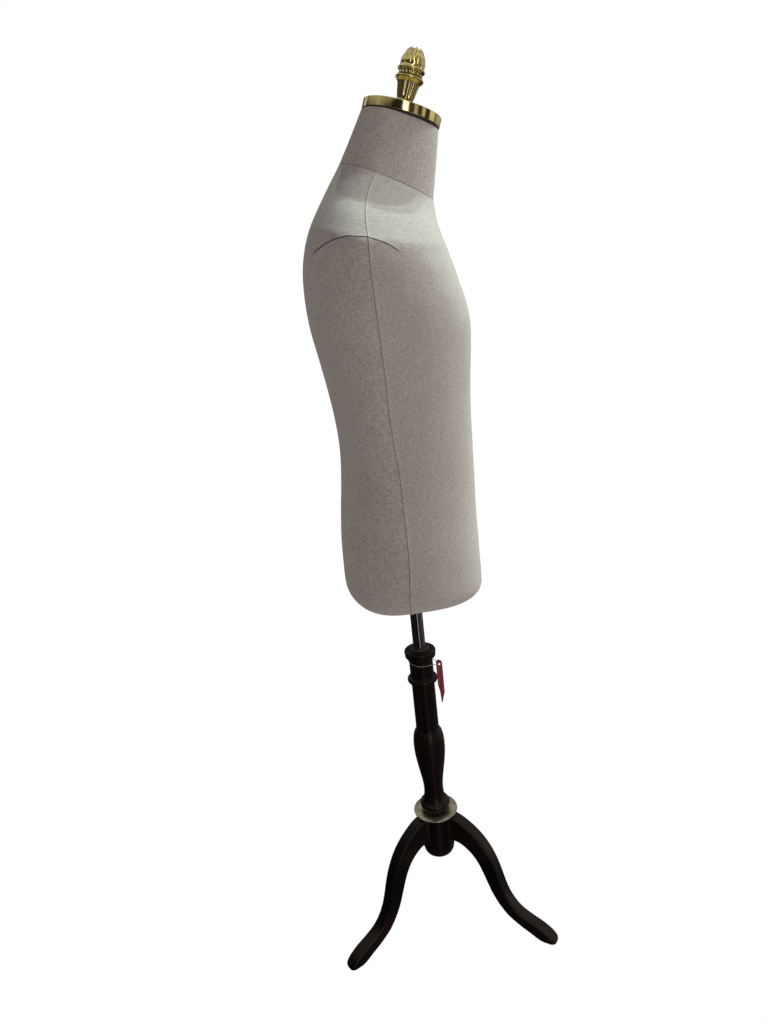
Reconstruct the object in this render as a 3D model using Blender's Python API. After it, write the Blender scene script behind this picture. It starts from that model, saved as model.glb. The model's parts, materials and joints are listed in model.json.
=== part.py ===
"""Dress form: a linen-covered male torso on a chrome pole, held by a turned wooden tripod stand.

Metres, +Z up. The mannequin faces -Y and its right side is at -X. The floor is z = 0 and the
pole's axis is the Z axis, so turned pieces are drawn round Z at their real height. "Forward"
means towards -Y, and outlines of turned pieces are lists of (radius, height) points.
"""

import math

import bmesh
import bpy
from mathutils import Matrix, Vector

# ---------------------------------------------------------------- driving dimensions
GAP = 0.0003               # between neighbouring pieces that touch
ROUND = 24                 # facets round a turned piece
SMALL_ROUND = 12           # facets round a fastener

# stand
LEG_ANGLES = (-2.0, 118.0, 238.0)
LEG_THICKNESS = 0.026
LEG_EDGE = 0.0035
LEG_BOLT_HEIGHT = 0.218
LEG_BOLT_SPAN = (0.012, 0.058)   # from the pole's axis to each end
LEG_DOWEL_HEIGHT = 0.199
LEG_DOWEL_SPAN = (0.016, 0.048)
# side outline of a leg, as (distance from the pole, height)
LEG_TOP_LINE = ((0.026, 0.2425), (0.040, 0.2405), (0.056, 0.2325), (0.077, 0.2165),
                (0.0935, 0.1985), (0.106, 0.179), (0.1155, 0.158), (0.1225, 0.137),
                (0.1285, 0.115), (0.1355, 0.093), (0.146, 0.073), (0.160, 0.057),
                (0.180, 0.0445), (0.201, 0.034), (0.2175, 0.0225), (0.227, 0.0115))
LEG_TOE_LINE = ((0.2295, 0.0065), (0.2275, 0.0040))
LEG_UNDER_LINE = ((0.204, 0.0040), (0.194, 0.0075), (0.180, 0.0165), (0.159, 0.029),
                  (0.138, 0.045), (0.122, 0.065), (0.110, 0.086), (0.1015, 0.107),
                  (0.0935, 0.129), (0.084, 0.151), (0.070, 0.171), (0.050, 0.186), (0.026, 0.191))
GLIDE_RADIUS = 0.0085
GLIDE_HEIGHT = 0.0035
GLIDE_REACH = 0.2155       # from the pole's axis to the middle of a glide
HUB_RADIUS = 0.0305
HUB_BOTTOM = 0.149
HUB_TOP = 0.243
# (inset from the side, rise) of its rounded underside
HUB_DOME = ((0.0130, 0), (0.0105, 0.0006), (0.0075, 0.0022), (0.0045, 0.0052), (0.0022, 0.0095),
            (0.0007, 0.0155), (0, 0.0220))
TIE_RADIUS = 0.004         # the bolt that ties the column down on the hub
TIE_SEAT = 0.012           # depth of its counterbore in the hub
TIE_TIP = 0.270
INSERT_RADIUS = 0.0070
RING_RADIUS = 0.0418
RING_THICKNESS = 0.006
TENON_RADIUS = 0.0127
TENON_BOTTOM = 0.2225
COLUMN_FOOT = HUB_TOP + RING_THICKNESS + 2 * GAP
COLUMN_TOP = 0.592
BORE_RADIUS = 0.0122
BORE_FLOOR = 0.296
NECK_RADIUS = 0.0214       # the plain band that carries the clamp
BUSH_RADIUS = 0.0145
BUSH_DEPTH = 0.025

# pole
TUBE_RADIUS = 0.01115
TUBE_WALL = 0.0012
TUBE_FIT = 0.0001          # running clearance of the tube in its bush and of its socket
TUBE_BOTTOM = 0.400
TUBE_TOP = 0.860
SOCKET_RADIUS = 0.0138
FLANGE_RADIUS = 0.036
FLANGE_THICKNESS = 0.0025
SOCKET_SCREW_RING = 0.027
SOCKET_SCREW_COUNT = 4
SOCKET_SCREW_TIP = 0.7410

# clamp, on the far side of the column
CLAMP_ANGLE = -5.0
CLAMP_HEIGHT = 0.555
SCREW_RADIUS = 0.00395

# swing tag, hung round the column by a thin plastic loop
TAG_ANGLE = -112.5
TAG_REACH = 0.0336
TAG_PIVOT_HEIGHT = 0.5630
TAG_WIDTH = 0.0114
TAG_LENGTH = 0.087
TAG_THICKNESS = 0.001
TAG_HOLE = 0.00225
LOOP_RADIUS = 0.0006
LOOP_RISE = 0.12           # the loop climbs over the clamp's insert as it goes round the neck

# torso: the cloth surface. Each station is one horizontal or tilted section, given by its back
# point and front point (forward distance from the pole, height), the half width, how far the
# sides hang below the plane of the section, and how square the section is (2 is an ellipse).
TORSO_BOTTOM = 0.7265
STATIONS = (
    # back            front            half width  droop   squareness
    ((-0.0065, 1.4698), (0.1045, 1.4302), 0.0560, 0.000, 2.00),   # top of the neck
    ((-0.0275, 1.4330), (0.0970, 1.3850), 0.0590, 0.000, 2.00),
    ((-0.0470, 1.4000), (0.0882, 1.3360), 0.0650, 0.000, 2.05),   # neck seam
    ((-0.0615, 1.3795), (0.0895, 1.3190), 0.0950, 0.006, 2.05),
    ((-0.0755, 1.3590), (0.0905, 1.3040), 0.1320, 0.008, 2.05),
    ((-0.0880, 1.3400), (0.0922, 1.2920), 0.1660, 0.010, 2.10),
    ((-0.0990, 1.3220), (0.0945, 1.2800), 0.1940, 0.012, 2.10),   # point of the shoulder
    ((-0.1065, 1.3070), (0.0980, 1.2680), 0.2105, 0.010, 2.15),
    ((-0.1140, 1.2870), (0.1020, 1.2530), 0.2162, 0.008, 2.15),
    ((-0.1197, 1.2640), (0.1070, 1.2370), 0.2172, 0.006, 2.20),
    ((-0.1228, 1.2400), (0.1125, 1.2180), 0.2160, 0.003, 2.20),
    ((-0.1237, 1.2060), (0.1200, 1.1920), 0.2110, 0.000, 2.25),
    ((-0.1212, 1.1680), (0.1255, 1.1580), 0.2010, 0.000, 2.30),   # chest
    ((-0.1138, 1.1220), (0.1245, 1.1180), 0.1880, 0.000, 2.30),
    ((-0.1058, 1.0700), (0.1208, 1.0700), 0.1750, 0.000, 2.30),
    ((-0.1000, 1.0180), (0.1185, 1.0180), 0.1640, 0.000, 2.30),
    ((-0.0985, 0.9660), (0.1178, 0.9660), 0.1570, 0.000, 2.30),   # waist
    ((-0.1028, 0.9140), (0.1168, 0.9140), 0.1560, 0.000, 2.30),
    ((-0.1095, 0.8620), (0.1155, 0.8620), 0.1610, 0.000, 2.30),
    ((-0.1145, 0.8120), (0.1152, 0.8120), 0.1670, 0.000, 2.35),
    ((-0.1165, 0.7560), (0.1150, 0.7560), 0.1690, 0.000, 2.50),   # hip
)
NECK_ROWS = 2              # the neck seam is this many stations below the neck's top
# radius of the edge where the cloth turns under: at the sides, in front and behind
SIDE_CORNER, FRONT_CORNER, BACK_CORNER = 0.038, 0.011, 0.025
FRONT_DIP = 0.065          # how fast the lower edge falls towards the front
BOARD_INSET = 0.0385       # from the hip section in to the edge of the base board
CORNER_TURNS = (22, 45, 68, 90)
LIP_REACH = 0.044          # how far the shell and the cloth reach in under the torso
SHOULDER_HEIGHT = 1.29
HIP_HEIGHT = 0.80
SIDE_SEAM = (-0.0300, -0.016)   # forward place of the side seam at shoulder and hip
NECK_LEAN = 0.40           # forward travel of the side line per metre of height on the neck
SHELL_WALL = 0.003
CLOTH = 0.0008
BOARD_THICKNESS = 0.012
ACROSS = 24                # facets round the torso

# neck cap and finial, on an axis that leans forward
STUD_HOLE = 0.0034
NECK_BLOCK_DEPTH = 0.018
CAP_WALL = 0.0012
CAP_LEAN = 19.6
CAP_RADIUS = 0.0588
CAP_HEIGHT = 0.0130
GASKET_HEIGHT = 0.0018
NECK_CENTRE = (0.0490, 1.4500)  # forward distance and height of the middle of the neck's top

# ---------------------------------------------------------------- finishes
FINISHES = {
    # colour, roughness, metallic
    "wood": ((0.020, 0.013, 0.011, 1.0), 0.38, 0.0),
    "raw wood": ((0.45, 0.31, 0.18, 1.0), 0.70, 0.0),
    "linen": ((0.47, 0.44, 0.39, 1.0), 0.90, 0.0),
    "shell": ((0.50, 0.44, 0.34, 1.0), 0.85, 0.0),
    "gold": ((0.83, 0.62, 0.20, 1.0), 0.14, 1.0),
    "old brass": ((0.43, 0.40, 0.26, 1.0), 0.34, 1.0),
    "chrome": ((0.55, 0.53, 0.54, 1.0), 0.10, 1.0),
    "steel": ((0.50, 0.50, 0.52, 1.0), 0.35, 1.0),
    "black plastic": ((0.018, 0.018, 0.018, 1.0), 0.45, 0.0),
    "clear plastic": ((0.86, 0.87, 0.86, 1.0), 0.25, 0.0),
    "red card": ((0.290, 0.038, 0.048, 1.0), 0.50, 0.0),
}


# ---------------------------------------------------------------- helpers
def clear_scene():
    for old in list(bpy.data.objects):
        bpy.data.objects.remove(old, do_unlink=True)


def new_material(name, finish):
    colour, roughness, metallic = FINISHES[finish]
    material = bpy.data.materials.new(name + "_finish")
    material.use_nodes = True
    shader = material.node_tree.nodes["Principled BSDF"]
    shader.inputs["Base Color"].default_value = colour
    shader.inputs["Roughness"].default_value = roughness
    shader.inputs["Metallic"].default_value = metallic
    return material


def place_object(name, data, frame, parent):
    """Put an object in the scene, placed by a matrix in its parent's frame."""
    thing = bpy.data.objects.new(name, data)
    bpy.context.collection.objects.link(thing)
    thing.parent = parent
    thing.matrix_local = frame
    return thing


def add_object(name, mesh, finish, frame=Matrix.Identity(4), parent=None):
    """Put a piece of the object in the scene under its node name, in its own finish."""
    piece = place_object(name, mesh, frame, parent)
    piece.data.materials.append(new_material(name, finish))
    piece.data.shade_smooth()
    piece.data.set_sharp_from_angle(angle=math.radians(35))
    return piece


def add_empty(name, frame=Matrix.Identity(4), parent=None):
    empty = place_object(name, None, frame, parent)
    empty.empty_display_size = 0.03
    return empty


def finish_mesh(name, builder):
    """Turn a bmesh into a closed mesh with its faces pointing out."""
    bmesh.ops.recalc_face_normals(builder, faces=builder.faces)
    mesh = bpy.data.meshes.new(name)
    builder.to_mesh(mesh)
    builder.free()
    return mesh


def turned(name, outline, facets=ROUND, closed=False):
    """Spin an outline of (radius, height) points round Z. A closed outline makes a ring."""
    builder = bmesh.new()
    corners = [builder.verts.new((radius, 0.0, height)) for radius, height in outline]
    edges = [builder.edges.new(pair) for pair in zip(corners, corners[1:])]
    if closed:
        edges.append(builder.edges.new((corners[-1], corners[0])))
    bmesh.ops.spin(builder, geom=corners + edges, cent=(0, 0, 0), axis=(0, 0, 1),
                   angle=2 * math.pi, steps=facets, use_merge=True)
    bmesh.ops.remove_doubles(builder, verts=builder.verts, dist=1e-6)
    return finish_mesh(name, builder)


def washer(name, inner, outer, bottom, top, facets=ROUND):
    outline = [(inner, bottom), (outer, bottom), (outer, top), (inner, top)]
    return turned(name, outline, facets, closed=True)


def rod(name, radius, bottom, top, facets=SMALL_ROUND, chamfer=0.0005):
    outline = [(0, bottom), (radius - chamfer, bottom), (radius, bottom + chamfer),
               (radius, top - chamfer), (radius - chamfer, top), (0, top)]
    return turned(name, outline, facets)


def headed_screw(name, shank, shank_bottom, head, head_bottom, head_top, facets=SMALL_ROUND):
    """A pan-head screw standing head down: the head is below the shank."""
    outline = [(0, head_bottom), (head * 0.8, head_bottom), (head, head_bottom + 0.0008),
               (head, head_top), (shank, head_top), (shank, shank_bottom - 0.002), (0, shank_bottom)]
    return turned(name, outline, facets)


def arc(centre, radius, start, end, steps):
    """Points on a circular arc of an outline, with angles in degrees."""
    points = []
    for step in range(steps + 1):
        angle = math.radians(start + (end - start) * step / steps)
        points.append((centre[0] + radius * math.cos(angle), centre[1] + radius * math.sin(angle)))
    return points


def plate(name, outline, thickness):
    """An outline of (x, z) points pushed through in Y, evenly on both sides of the XZ plane."""
    builder = bmesh.new()
    corners = [builder.verts.new((x, -thickness / 2, z)) for x, z in outline]
    pushed = bmesh.ops.extrude_face_region(builder, geom=[builder.faces.new(corners)])
    moved = [item for item in pushed["geom"] if isinstance(item, bmesh.types.BMVert)]
    bmesh.ops.translate(builder, verts=moved, vec=(0, thickness, 0))
    return finish_mesh(name, builder)


def cutter(name, mesh, frame=Matrix.Identity(4), parent=None):
    """A guide solid that only cuts others; it is not part of the object."""
    tool = place_object(name, mesh, frame, parent)
    tool.hide_render = True
    tool.display_type = "WIRE"
    return tool


def cut(piece, tool):
    modifier = piece.modifiers.new("cut_" + tool.name, "BOOLEAN")
    modifier.operation = "DIFFERENCE"
    modifier.solver = "EXACT"
    modifier.object = tool


def turned_about_z(degrees):
    return Matrix.Rotation(math.radians(degrees), 4, "Z")


def radial_frame(degrees, height):
    """A frame whose Z axis points away from the pole at an angle, at a height."""
    return (Matrix.Translation((0, 0, height)) @ turned_about_z(degrees)
            @ Matrix.Rotation(math.radians(90), 4, "Y"))


# ---------------------------------------------------------------- tripod
def soften(piece, width, segments=2):
    bevel = piece.modifiers.new("soft_edges", "BEVEL")
    bevel.width = width
    bevel.segments = segments
    bevel.limit_method = "ANGLE"
    bevel.angle_limit = math.radians(50)


def build_leg(number, angle, stand, hub_tool):
    """A cabriole leg sawn from a board, its bolt, dowel and glide; returns its two holes."""
    frame = turned_about_z(angle)
    outline = LEG_TOP_LINE + LEG_TOE_LINE + LEG_UNDER_LINE
    leg = add_object(f"leg_{number}", plate(f"leg_{number}", outline, LEG_THICKNESS), "wood", frame, stand)
    soften(leg, LEG_EDGE)
    cut(leg, hub_tool)
    pins = (("bolt", "steel", 0.003, LEG_BOLT_SPAN, LEG_BOLT_HEIGHT),
            ("dowel", "raw wood", 0.004, LEG_DOWEL_SPAN, LEG_DOWEL_HEIGHT))
    holes = []
    for kind, finish, radius, (start, end), height in pins:
        place = radial_frame(angle, height)
        name = f"{kind}_hole_{number}"
        hole = cutter(name, rod(name, radius + GAP, start - GAP, end + GAP), place, stand)
        cut(leg, hole)
        holes.append(hole)
        name = f"leg_{kind}_{number}"
        add_object(name, rod(name, radius, start, end), finish, place, stand)
    glide_frame = frame @ Matrix.Translation((GLIDE_REACH, 0, 0))
    glide = [(0, 0), (GLIDE_RADIUS - 0.001, 0), (GLIDE_RADIUS, 0.001),
             (GLIDE_RADIUS, GLIDE_HEIGHT), (0, GLIDE_HEIGHT)]
    add_object(f"foot_glide_{number}", turned(f"foot_glide_{number}", glide, SMALL_ROUND),
               "black plastic", glide_frame, stand)
    return holes


def build_hub(stand, holes):
    """The turned block the legs are bolted to, bored from below for the tie bolt."""
    bore, counterbore, socket = TIE_RADIUS + 0.0006, 0.0125, TENON_RADIUS + GAP
    seat = HUB_BOTTOM + TIE_SEAT
    outline = [(bore, seat), (counterbore, seat), (counterbore, HUB_BOTTOM)]
    outline += [(HUB_RADIUS - inset, HUB_BOTTOM + rise) for inset, rise in HUB_DOME]
    outline += [(HUB_RADIUS, HUB_TOP), (socket, HUB_TOP), (socket, TENON_BOTTOM - GAP),
                (bore, TENON_BOTTOM - GAP)]
    hub = add_object("hub", turned("hub", outline, closed=True), "wood", parent=stand)
    for hole in holes:
        cut(hub, hole)


def build_tie(stand):
    """The bolt that pulls the column down on the hub, with its washer and threaded insert."""
    top = HUB_BOTTOM + TIE_SEAT - GAP
    bottom = top - 0.0016
    ring = washer("tie_washer", TIE_RADIUS + 0.0006, 0.0115, bottom, top, SMALL_ROUND)
    add_object("tie_washer", ring, "steel", parent=stand)
    bolt = headed_screw("tie_bolt", TIE_RADIUS, TIE_TIP, 0.0074, bottom - GAP - 0.0055, bottom - GAP)
    add_object("tie_bolt", bolt, "steel", parent=stand)
    insert = washer("column_insert", TIE_RADIUS + 0.0004, INSERT_RADIUS, 0.2400, 0.2660, SMALL_ROUND)
    add_object("column_insert", insert, "steel", parent=stand)


def build_base_ring(stand):
    bottom = HUB_TOP + GAP
    top = bottom + RING_THICKNESS
    inner = TENON_RADIUS + GAP
    outline = [(inner, bottom), (HUB_RADIUS + 0.0040, bottom), (RING_RADIUS - 0.0018, bottom + 0.0026)]
    outline += arc((RING_RADIUS - 0.0012, bottom + 0.0040), 0.0012, -70, 60, 4)
    outline += [(0.0335, top - 0.0006), (0.0300, top), (inner, top)]
    add_object("base_ring", turned("base_ring", outline, closed=True), "old brass", parent=stand)


def column_outline():
    """The turned column: tenon, foot, slender waist, vase, plain shaft, bead, neck and flange."""
    foot = [(0, TENON_BOTTOM), (TENON_RADIUS, TENON_BOTTOM), (TENON_RADIUS, COLUMN_FOOT),
            (0.0228, COLUMN_FOOT), (0.0240, 0.2516), (0.0258, 0.2542), (0.0272, 0.2580)]
    foot += arc((0.0225, 0.2630), 0.0057, -20, 60, 4)
    vase = [(0.0205, 0.2760), (0.0185, 0.2870), (0.0183, 0.2990), (0.0196, 0.3150), (0.0226, 0.3340),
            (0.0262, 0.3560), (0.0286, 0.3760), (0.0291, 0.3920), (0.0282, 0.4080), (0.0258, 0.4190),
            (0.0232, 0.4245)]
    shaft = [(0.02165, 0.4262), (0.0211, 0.4310), (0.0209, 0.5238)]
    bead = arc((0.0222, 0.5315), 0.0052, -80, 80, 4)
    neck = [(NECK_RADIUS, 0.5390), (NECK_RADIUS, 0.5735), (0.0225, 0.5752)]
    flange = arc((0.0232, 0.5805), 0.0045, -60, 0, 2) + arc((0.0245, 0.5870), 0.0035, -10, 70, 3)
    flange += [(0.0225, COLUMN_TOP), (BUSH_RADIUS + GAP, COLUMN_TOP - 0.0006)]
    seat_floor = COLUMN_TOP - BUSH_DEPTH - GAP
    seat = [(BUSH_RADIUS + GAP, seat_floor), (BORE_RADIUS, seat_floor)]
    return foot + vase + shaft + bead + neck + flange + seat + [(BORE_RADIUS, BORE_FLOOR), (0, BORE_FLOOR)]


def build_column(stand):
    column = add_object("column", turned("column", column_outline()), "wood", parent=stand)
    drill = rod("tie_bore", INSERT_RADIUS + GAP, TENON_BOTTOM - 0.01, TIE_TIP + 0.002)
    pilot = cutter("tie_bore", drill, parent=stand)
    cut(column, pilot)
    clamp_bore = cutter("clamp_bore", rod("clamp_bore", 0.0063, 0.008, 0.030),
                        radial_frame(CLAMP_ANGLE, CLAMP_HEIGHT), stand)
    cut(column, clamp_bore)
    inner = TUBE_RADIUS + TUBE_FIT
    bush = [(inner, COLUMN_TOP - BUSH_DEPTH), (BUSH_RADIUS, COLUMN_TOP - BUSH_DEPTH),
            (BUSH_RADIUS, COLUMN_TOP + GAP), (0.0165, COLUMN_TOP + GAP), (0.0165, COLUMN_TOP + 0.0012),
            (0.0157, COLUMN_TOP + 0.0020), (0.0125, COLUMN_TOP + 0.0020), (inner, COLUMN_TOP + 0.0010)]
    add_object("column_bush", turned("column_bush", bush, closed=True), "black plastic", parent=stand)


# ---------------------------------------------------------------- clamp
def build_clamp(stand):
    frame = radial_frame(CLAMP_ANGLE, CLAMP_HEIGHT)
    insert = [(0.0043, 0.0150), (0.0060, 0.0150), (0.0060, NECK_RADIUS + GAP),
              (0.0078, NECK_RADIUS + GAP), (0.0078, NECK_RADIUS + 0.0014), (0.0043, NECK_RADIUS + 0.0014)]
    add_object("clamp_insert", turned("clamp_insert", insert, SMALL_ROUND, closed=True), "old brass",
               frame, stand)
    carriage = add_empty("clamp_axis", frame, stand)
    add_object("clamp_shoe", rod("clamp_shoe", 0.0036, 0.0115, 0.0140), "old brass", parent=carriage)
    add_object("clamp_screw", rod("clamp_screw", SCREW_RADIUS, 0.0143, 0.0420), "steel", parent=carriage)
    bore = SCREW_RADIUS + GAP
    knob = [(0, 0.0423), (bore, 0.0423), (bore, 0.0270), (0.0075, 0.0270), (0.0080, 0.0290),
            (0.0122, 0.0310), (0.0130, 0.0330), (0.0130, 0.0420), (0.0118, 0.0440), (0.0070, 0.0452),
            (0, 0.0455)]
    add_object("clamp_knob", turned("clamp_knob", knob, 24), "black plastic", parent=carriage)


# ---------------------------------------------------------------- swing tag
def tag_outline():
    """Half-round top, straight sides and a lower end that tapers to an off-centre point."""
    half = TAG_WIDTH / 2
    top = 0.0018 + TAG_HOLE * 2 + 0.0012
    outline = arc((0, top - half), half, 0, 180, 8)
    outline += [(-half, top - 0.052), (-half * 0.55, top - 0.064), (-half * 0.30, top - TAG_LENGTH),
                (half * 0.10, top - TAG_LENGTH), (half, top - 0.066)]
    return outline


def build_tag(stand):
    """The tag lies in the plane of the pole; its pivot is where the loop passes its hole."""
    swing = add_empty("tag_pivot", turned_about_z(TAG_ANGLE) @ Matrix.Translation(
        (TAG_REACH, 0, TAG_PIVOT_HEIGHT)), stand)
    card = plate("swing_tag", tag_outline(), TAG_THICKNESS)
    tag = add_object("swing_tag", card, "red card", parent=swing)
    drop = TAG_HOLE - LOOP_RADIUS - GAP
    lay = Matrix.Translation((0, 0, -drop)) @ Matrix.Rotation(math.radians(90), 4, "X")
    cut(tag, cutter("tag_punch", rod("tag_punch", TAG_HOLE, -0.003, 0.003), lay, swing))


def loop_points():
    """A ring drawn tight round the column's neck, pulled out to a point at the tag."""
    hug = NECK_RADIUS + LOOP_RADIUS + GAP
    tip = 0.0012
    opening = math.degrees(math.acos((hug - tip) / TAG_REACH))
    around = arc((0, 0), hug, opening, 360 - opening, 24)
    end = arc((TAG_REACH - tip, 0), tip, -opening, opening, 4)
    return around + end


def build_loop(stand):
    data = bpy.data.curves.new("tag_loop", "CURVE")
    data.dimensions = "3D"
    data.bevel_depth = LOOP_RADIUS
    data.bevel_resolution = 0
    points = loop_points()
    spline = data.splines.new("POLY")
    spline.points.add(len(points) - 1)
    for point, (x, y) in zip(spline.points, points):
        point.co = (x, y, LOOP_RISE * (TAG_REACH - x), 1)
    spline.use_cyclic_u = True
    place = turned_about_z(TAG_ANGLE) @ Matrix.Translation((0, 0, TAG_PIVOT_HEIGHT))
    loop = place_object("tag_loop", data, place, stand)
    loop.data.materials.append(new_material("tag_loop", "clear plastic"))


# ---------------------------------------------------------------- pole
def build_pole(lift):
    bore = TUBE_RADIUS - TUBE_WALL
    add_object("height_tube", washer("height_tube", bore, TUBE_RADIUS, TUBE_BOTTOM, TUBE_TOP), "chrome",
               parent=lift)
    head = BORE_RADIUS - 0.0003
    plug = [(0, TUBE_BOTTOM - 0.009), (head - 0.001, TUBE_BOTTOM - 0.009), (head, TUBE_BOTTOM - 0.008),
            (head, TUBE_BOTTOM - GAP), (bore - GAP, TUBE_BOTTOM - GAP), (bore - GAP, TUBE_BOTTOM + 0.020),
            (0, TUBE_BOTTOM + 0.020)]
    add_object("tube_guide_plug", turned("tube_guide_plug", plug), "black plastic", parent=lift)
    cap = [(0, TUBE_TOP - 0.015), (bore - GAP, TUBE_TOP - 0.015), (bore - GAP, TUBE_TOP + GAP),
           (TUBE_RADIUS, TUBE_TOP + GAP), (TUBE_RADIUS, TUBE_TOP + 0.002), (0.004, TUBE_TOP + 0.004),
           (0, TUBE_TOP + 0.004)]
    add_object("tube_top_cap", turned("tube_top_cap", cap), "black plastic", parent=lift)


# ---------------------------------------------------------------- torso surface
def signed_power(value, power):
    return math.copysign(abs(value) ** power, value)


def section_point(station, seam, angle):
    """A point of one section. Angle 0 is the front, 90 the left side and 180 the back."""
    (back, back_z), (front, front_z), half_width, droop, square = station
    power = 2.0 / square
    along = signed_power(math.cos(angle), power)
    out = signed_power(math.sin(angle), power)
    forward = seam + (front - seam if along > 0 else seam - back) * along
    height = back_z + (front_z - back_z) * (forward - back) / (front - back)
    return Vector((half_width * out, -forward, height - droop * abs(out) ** 3))


def seam_place(height):
    """Forward place of the side line: it follows the body and, above the shoulder, the neck."""
    shoulder, hip = SIDE_SEAM
    share = (SHOULDER_HEIGHT - height) / (SHOULDER_HEIGHT - HIP_HEIGHT)
    share = min(1.0, max(0.0, share))
    return shoulder + (hip - shoulder) * share + NECK_LEAN * max(0.0, height - SHOULDER_HEIGHT)


def torso_sections():
    """Rows of section points from the neck's top down and round the lower edge to the lip."""
    rows = []
    angles = [2 * math.pi * index / ACROSS for index in range(ACROSS)]
    for station in STATIONS:
        seam = seam_place((station[0][1] + station[1][1]) / 2)
        rows.append([section_point(station, seam, angle) for angle in angles])
    hip = rows[-1]
    for degrees in CORNER_TURNS:
        rows.append([corner_point(point, angle, degrees) for point, angle in zip(hip, angles)])
    rows.append([turned_under(point, LIP_REACH, TORSO_BOTTOM) for point in hip])
    return rows


def corner_point(point, angle, degrees):
    """The hip point carried round the lower edge, which is sharper and lower in front."""
    end = FRONT_CORNER if math.cos(angle) > 0 else BACK_CORNER
    radius = SIDE_CORNER + (end - SIDE_CORNER) * math.cos(angle) ** 2
    turn = math.radians(degrees)
    moved = turned_under(point, radius * (1 - math.cos(turn)), TORSO_BOTTOM + radius * (1 - math.sin(turn)))
    moved.z -= FRONT_DIP * max(0.0, -moved.y) * degrees / 90
    return moved


def turned_under(point, pull, height):
    """Pull a point of the hip section in towards the pole by about the same amount all round."""
    flat = Vector((point.x, point.y))
    reach = flat.length
    flat *= (reach - pull) / reach
    return Vector((flat.x, flat.y, height))


def grid_normals(rows, wrap):
    """Outward normals of a grid of points, from its neighbours."""
    normals = []
    last = len(rows) - 1
    for r, row in enumerate(rows):
        above, below = rows[max(r - 1, 0)], rows[min(r + 1, last)]
        line = []
        for c in range(len(row)):
            before = row[c - 1] if wrap else row[max(c - 1, 0)]
            after = row[(c + 1) % len(row)] if wrap else row[min(c + 1, len(row) - 1)]
            line.append((below[c] - above[c]).cross(after - before).normalized())
        normals.append(line)
    return normals


def pushed_out(rows, normals, distance):
    return [[point + normal * distance for point, normal in zip(row, line)]
            for row, line in zip(rows, normals)]


def skin_mesh(name, outer, inner, wrap):
    """A closed skin between two grids of the same size: a tube if wrap, otherwise a panel."""
    builder = bmesh.new()
    sheets = [[[builder.verts.new(point) for point in row] for row in grid] for grid in (outer, inner)]
    height, width = len(outer), len(outer[0])
    spans = width if wrap else width - 1
    for sheet in sheets:
        for r in range(height - 1):
            for c in range(spans):
                d = (c + 1) % width
                builder.faces.new((sheet[r][c], sheet[r + 1][c], sheet[r + 1][d], sheet[r][d]))
    front, back = sheets
    for r in (0, height - 1):
        for c in range(spans):
            d = (c + 1) % width
            builder.faces.new((front[r][c], front[r][d], back[r][d], back[r][c]))
    if not wrap:
        for c in (0, width - 1):
            for r in range(height - 1):
                builder.faces.new((front[r][c], front[r + 1][c], back[r + 1][c], back[r][c]))
    return finish_mesh(name, builder)


def trimmed(rows, first, last, top_trim, end_trim):
    """A panel cut from the whole grid: columns first..last, with its edges drawn in a little."""
    count = len(rows[0])
    panel = [[row[c % count].copy() for c in range(first, last + 1)] for row in rows]
    if top_trim:
        panel[0] = [a.lerp(b, 0.02) for a, b in zip(panel[0], panel[1])]
    if end_trim:
        for row in panel:
            row[0] = row[0].lerp(row[1], 0.02)
            row[-1] = row[-1].lerp(row[-2], 0.02)
    return panel


def build_torso(torso):
    rows = torso_sections()
    normals = grid_normals(rows, wrap=True)
    shell_out = pushed_out(rows, normals, -CLOTH - GAP)
    shell_in = pushed_out(rows, normals, -CLOTH - GAP - SHELL_WALL)
    add_object("torso_shell", skin_mesh("torso_shell", shell_out, shell_in, True), "shell",
               parent=torso)
    cloth_in = pushed_out(rows, normals, -CLOTH)
    half = ACROSS // 2
    quarter = ACROSS // 4
    pieces = (("front_cover", -quarter, quarter), ("back_cover", quarter, quarter + half))
    for name, first, last in pieces:
        outer = trimmed(rows[NECK_ROWS:], first, last, True, True)
        inner = trimmed(cloth_in[NECK_ROWS:], first, last, True, True)
        add_object(name, skin_mesh(name, outer, inner, False), "linen", parent=torso)
    add_object("neck_cover", skin_mesh("neck_cover", rows[:NECK_ROWS + 1], cloth_in[:NECK_ROWS + 1], True),
               "linen", parent=torso)
    build_base_board(torso, rows[len(STATIONS) - 1])


def slab(name, hip, pull, bottom, top):
    """A flat board with the outline of the hip section, drawn in all round."""
    builder = bmesh.new()
    loops = [[builder.verts.new(turned_under(point, pull, z)) for point in hip] for z in (bottom, top)]
    for loop in loops:
        builder.faces.new(loop)
    count = len(hip)
    for c in range(count):
        d = (c + 1) % count
        builder.faces.new((loops[0][c], loops[0][d], loops[1][d], loops[1][c]))
    return finish_mesh(name, builder)


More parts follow.
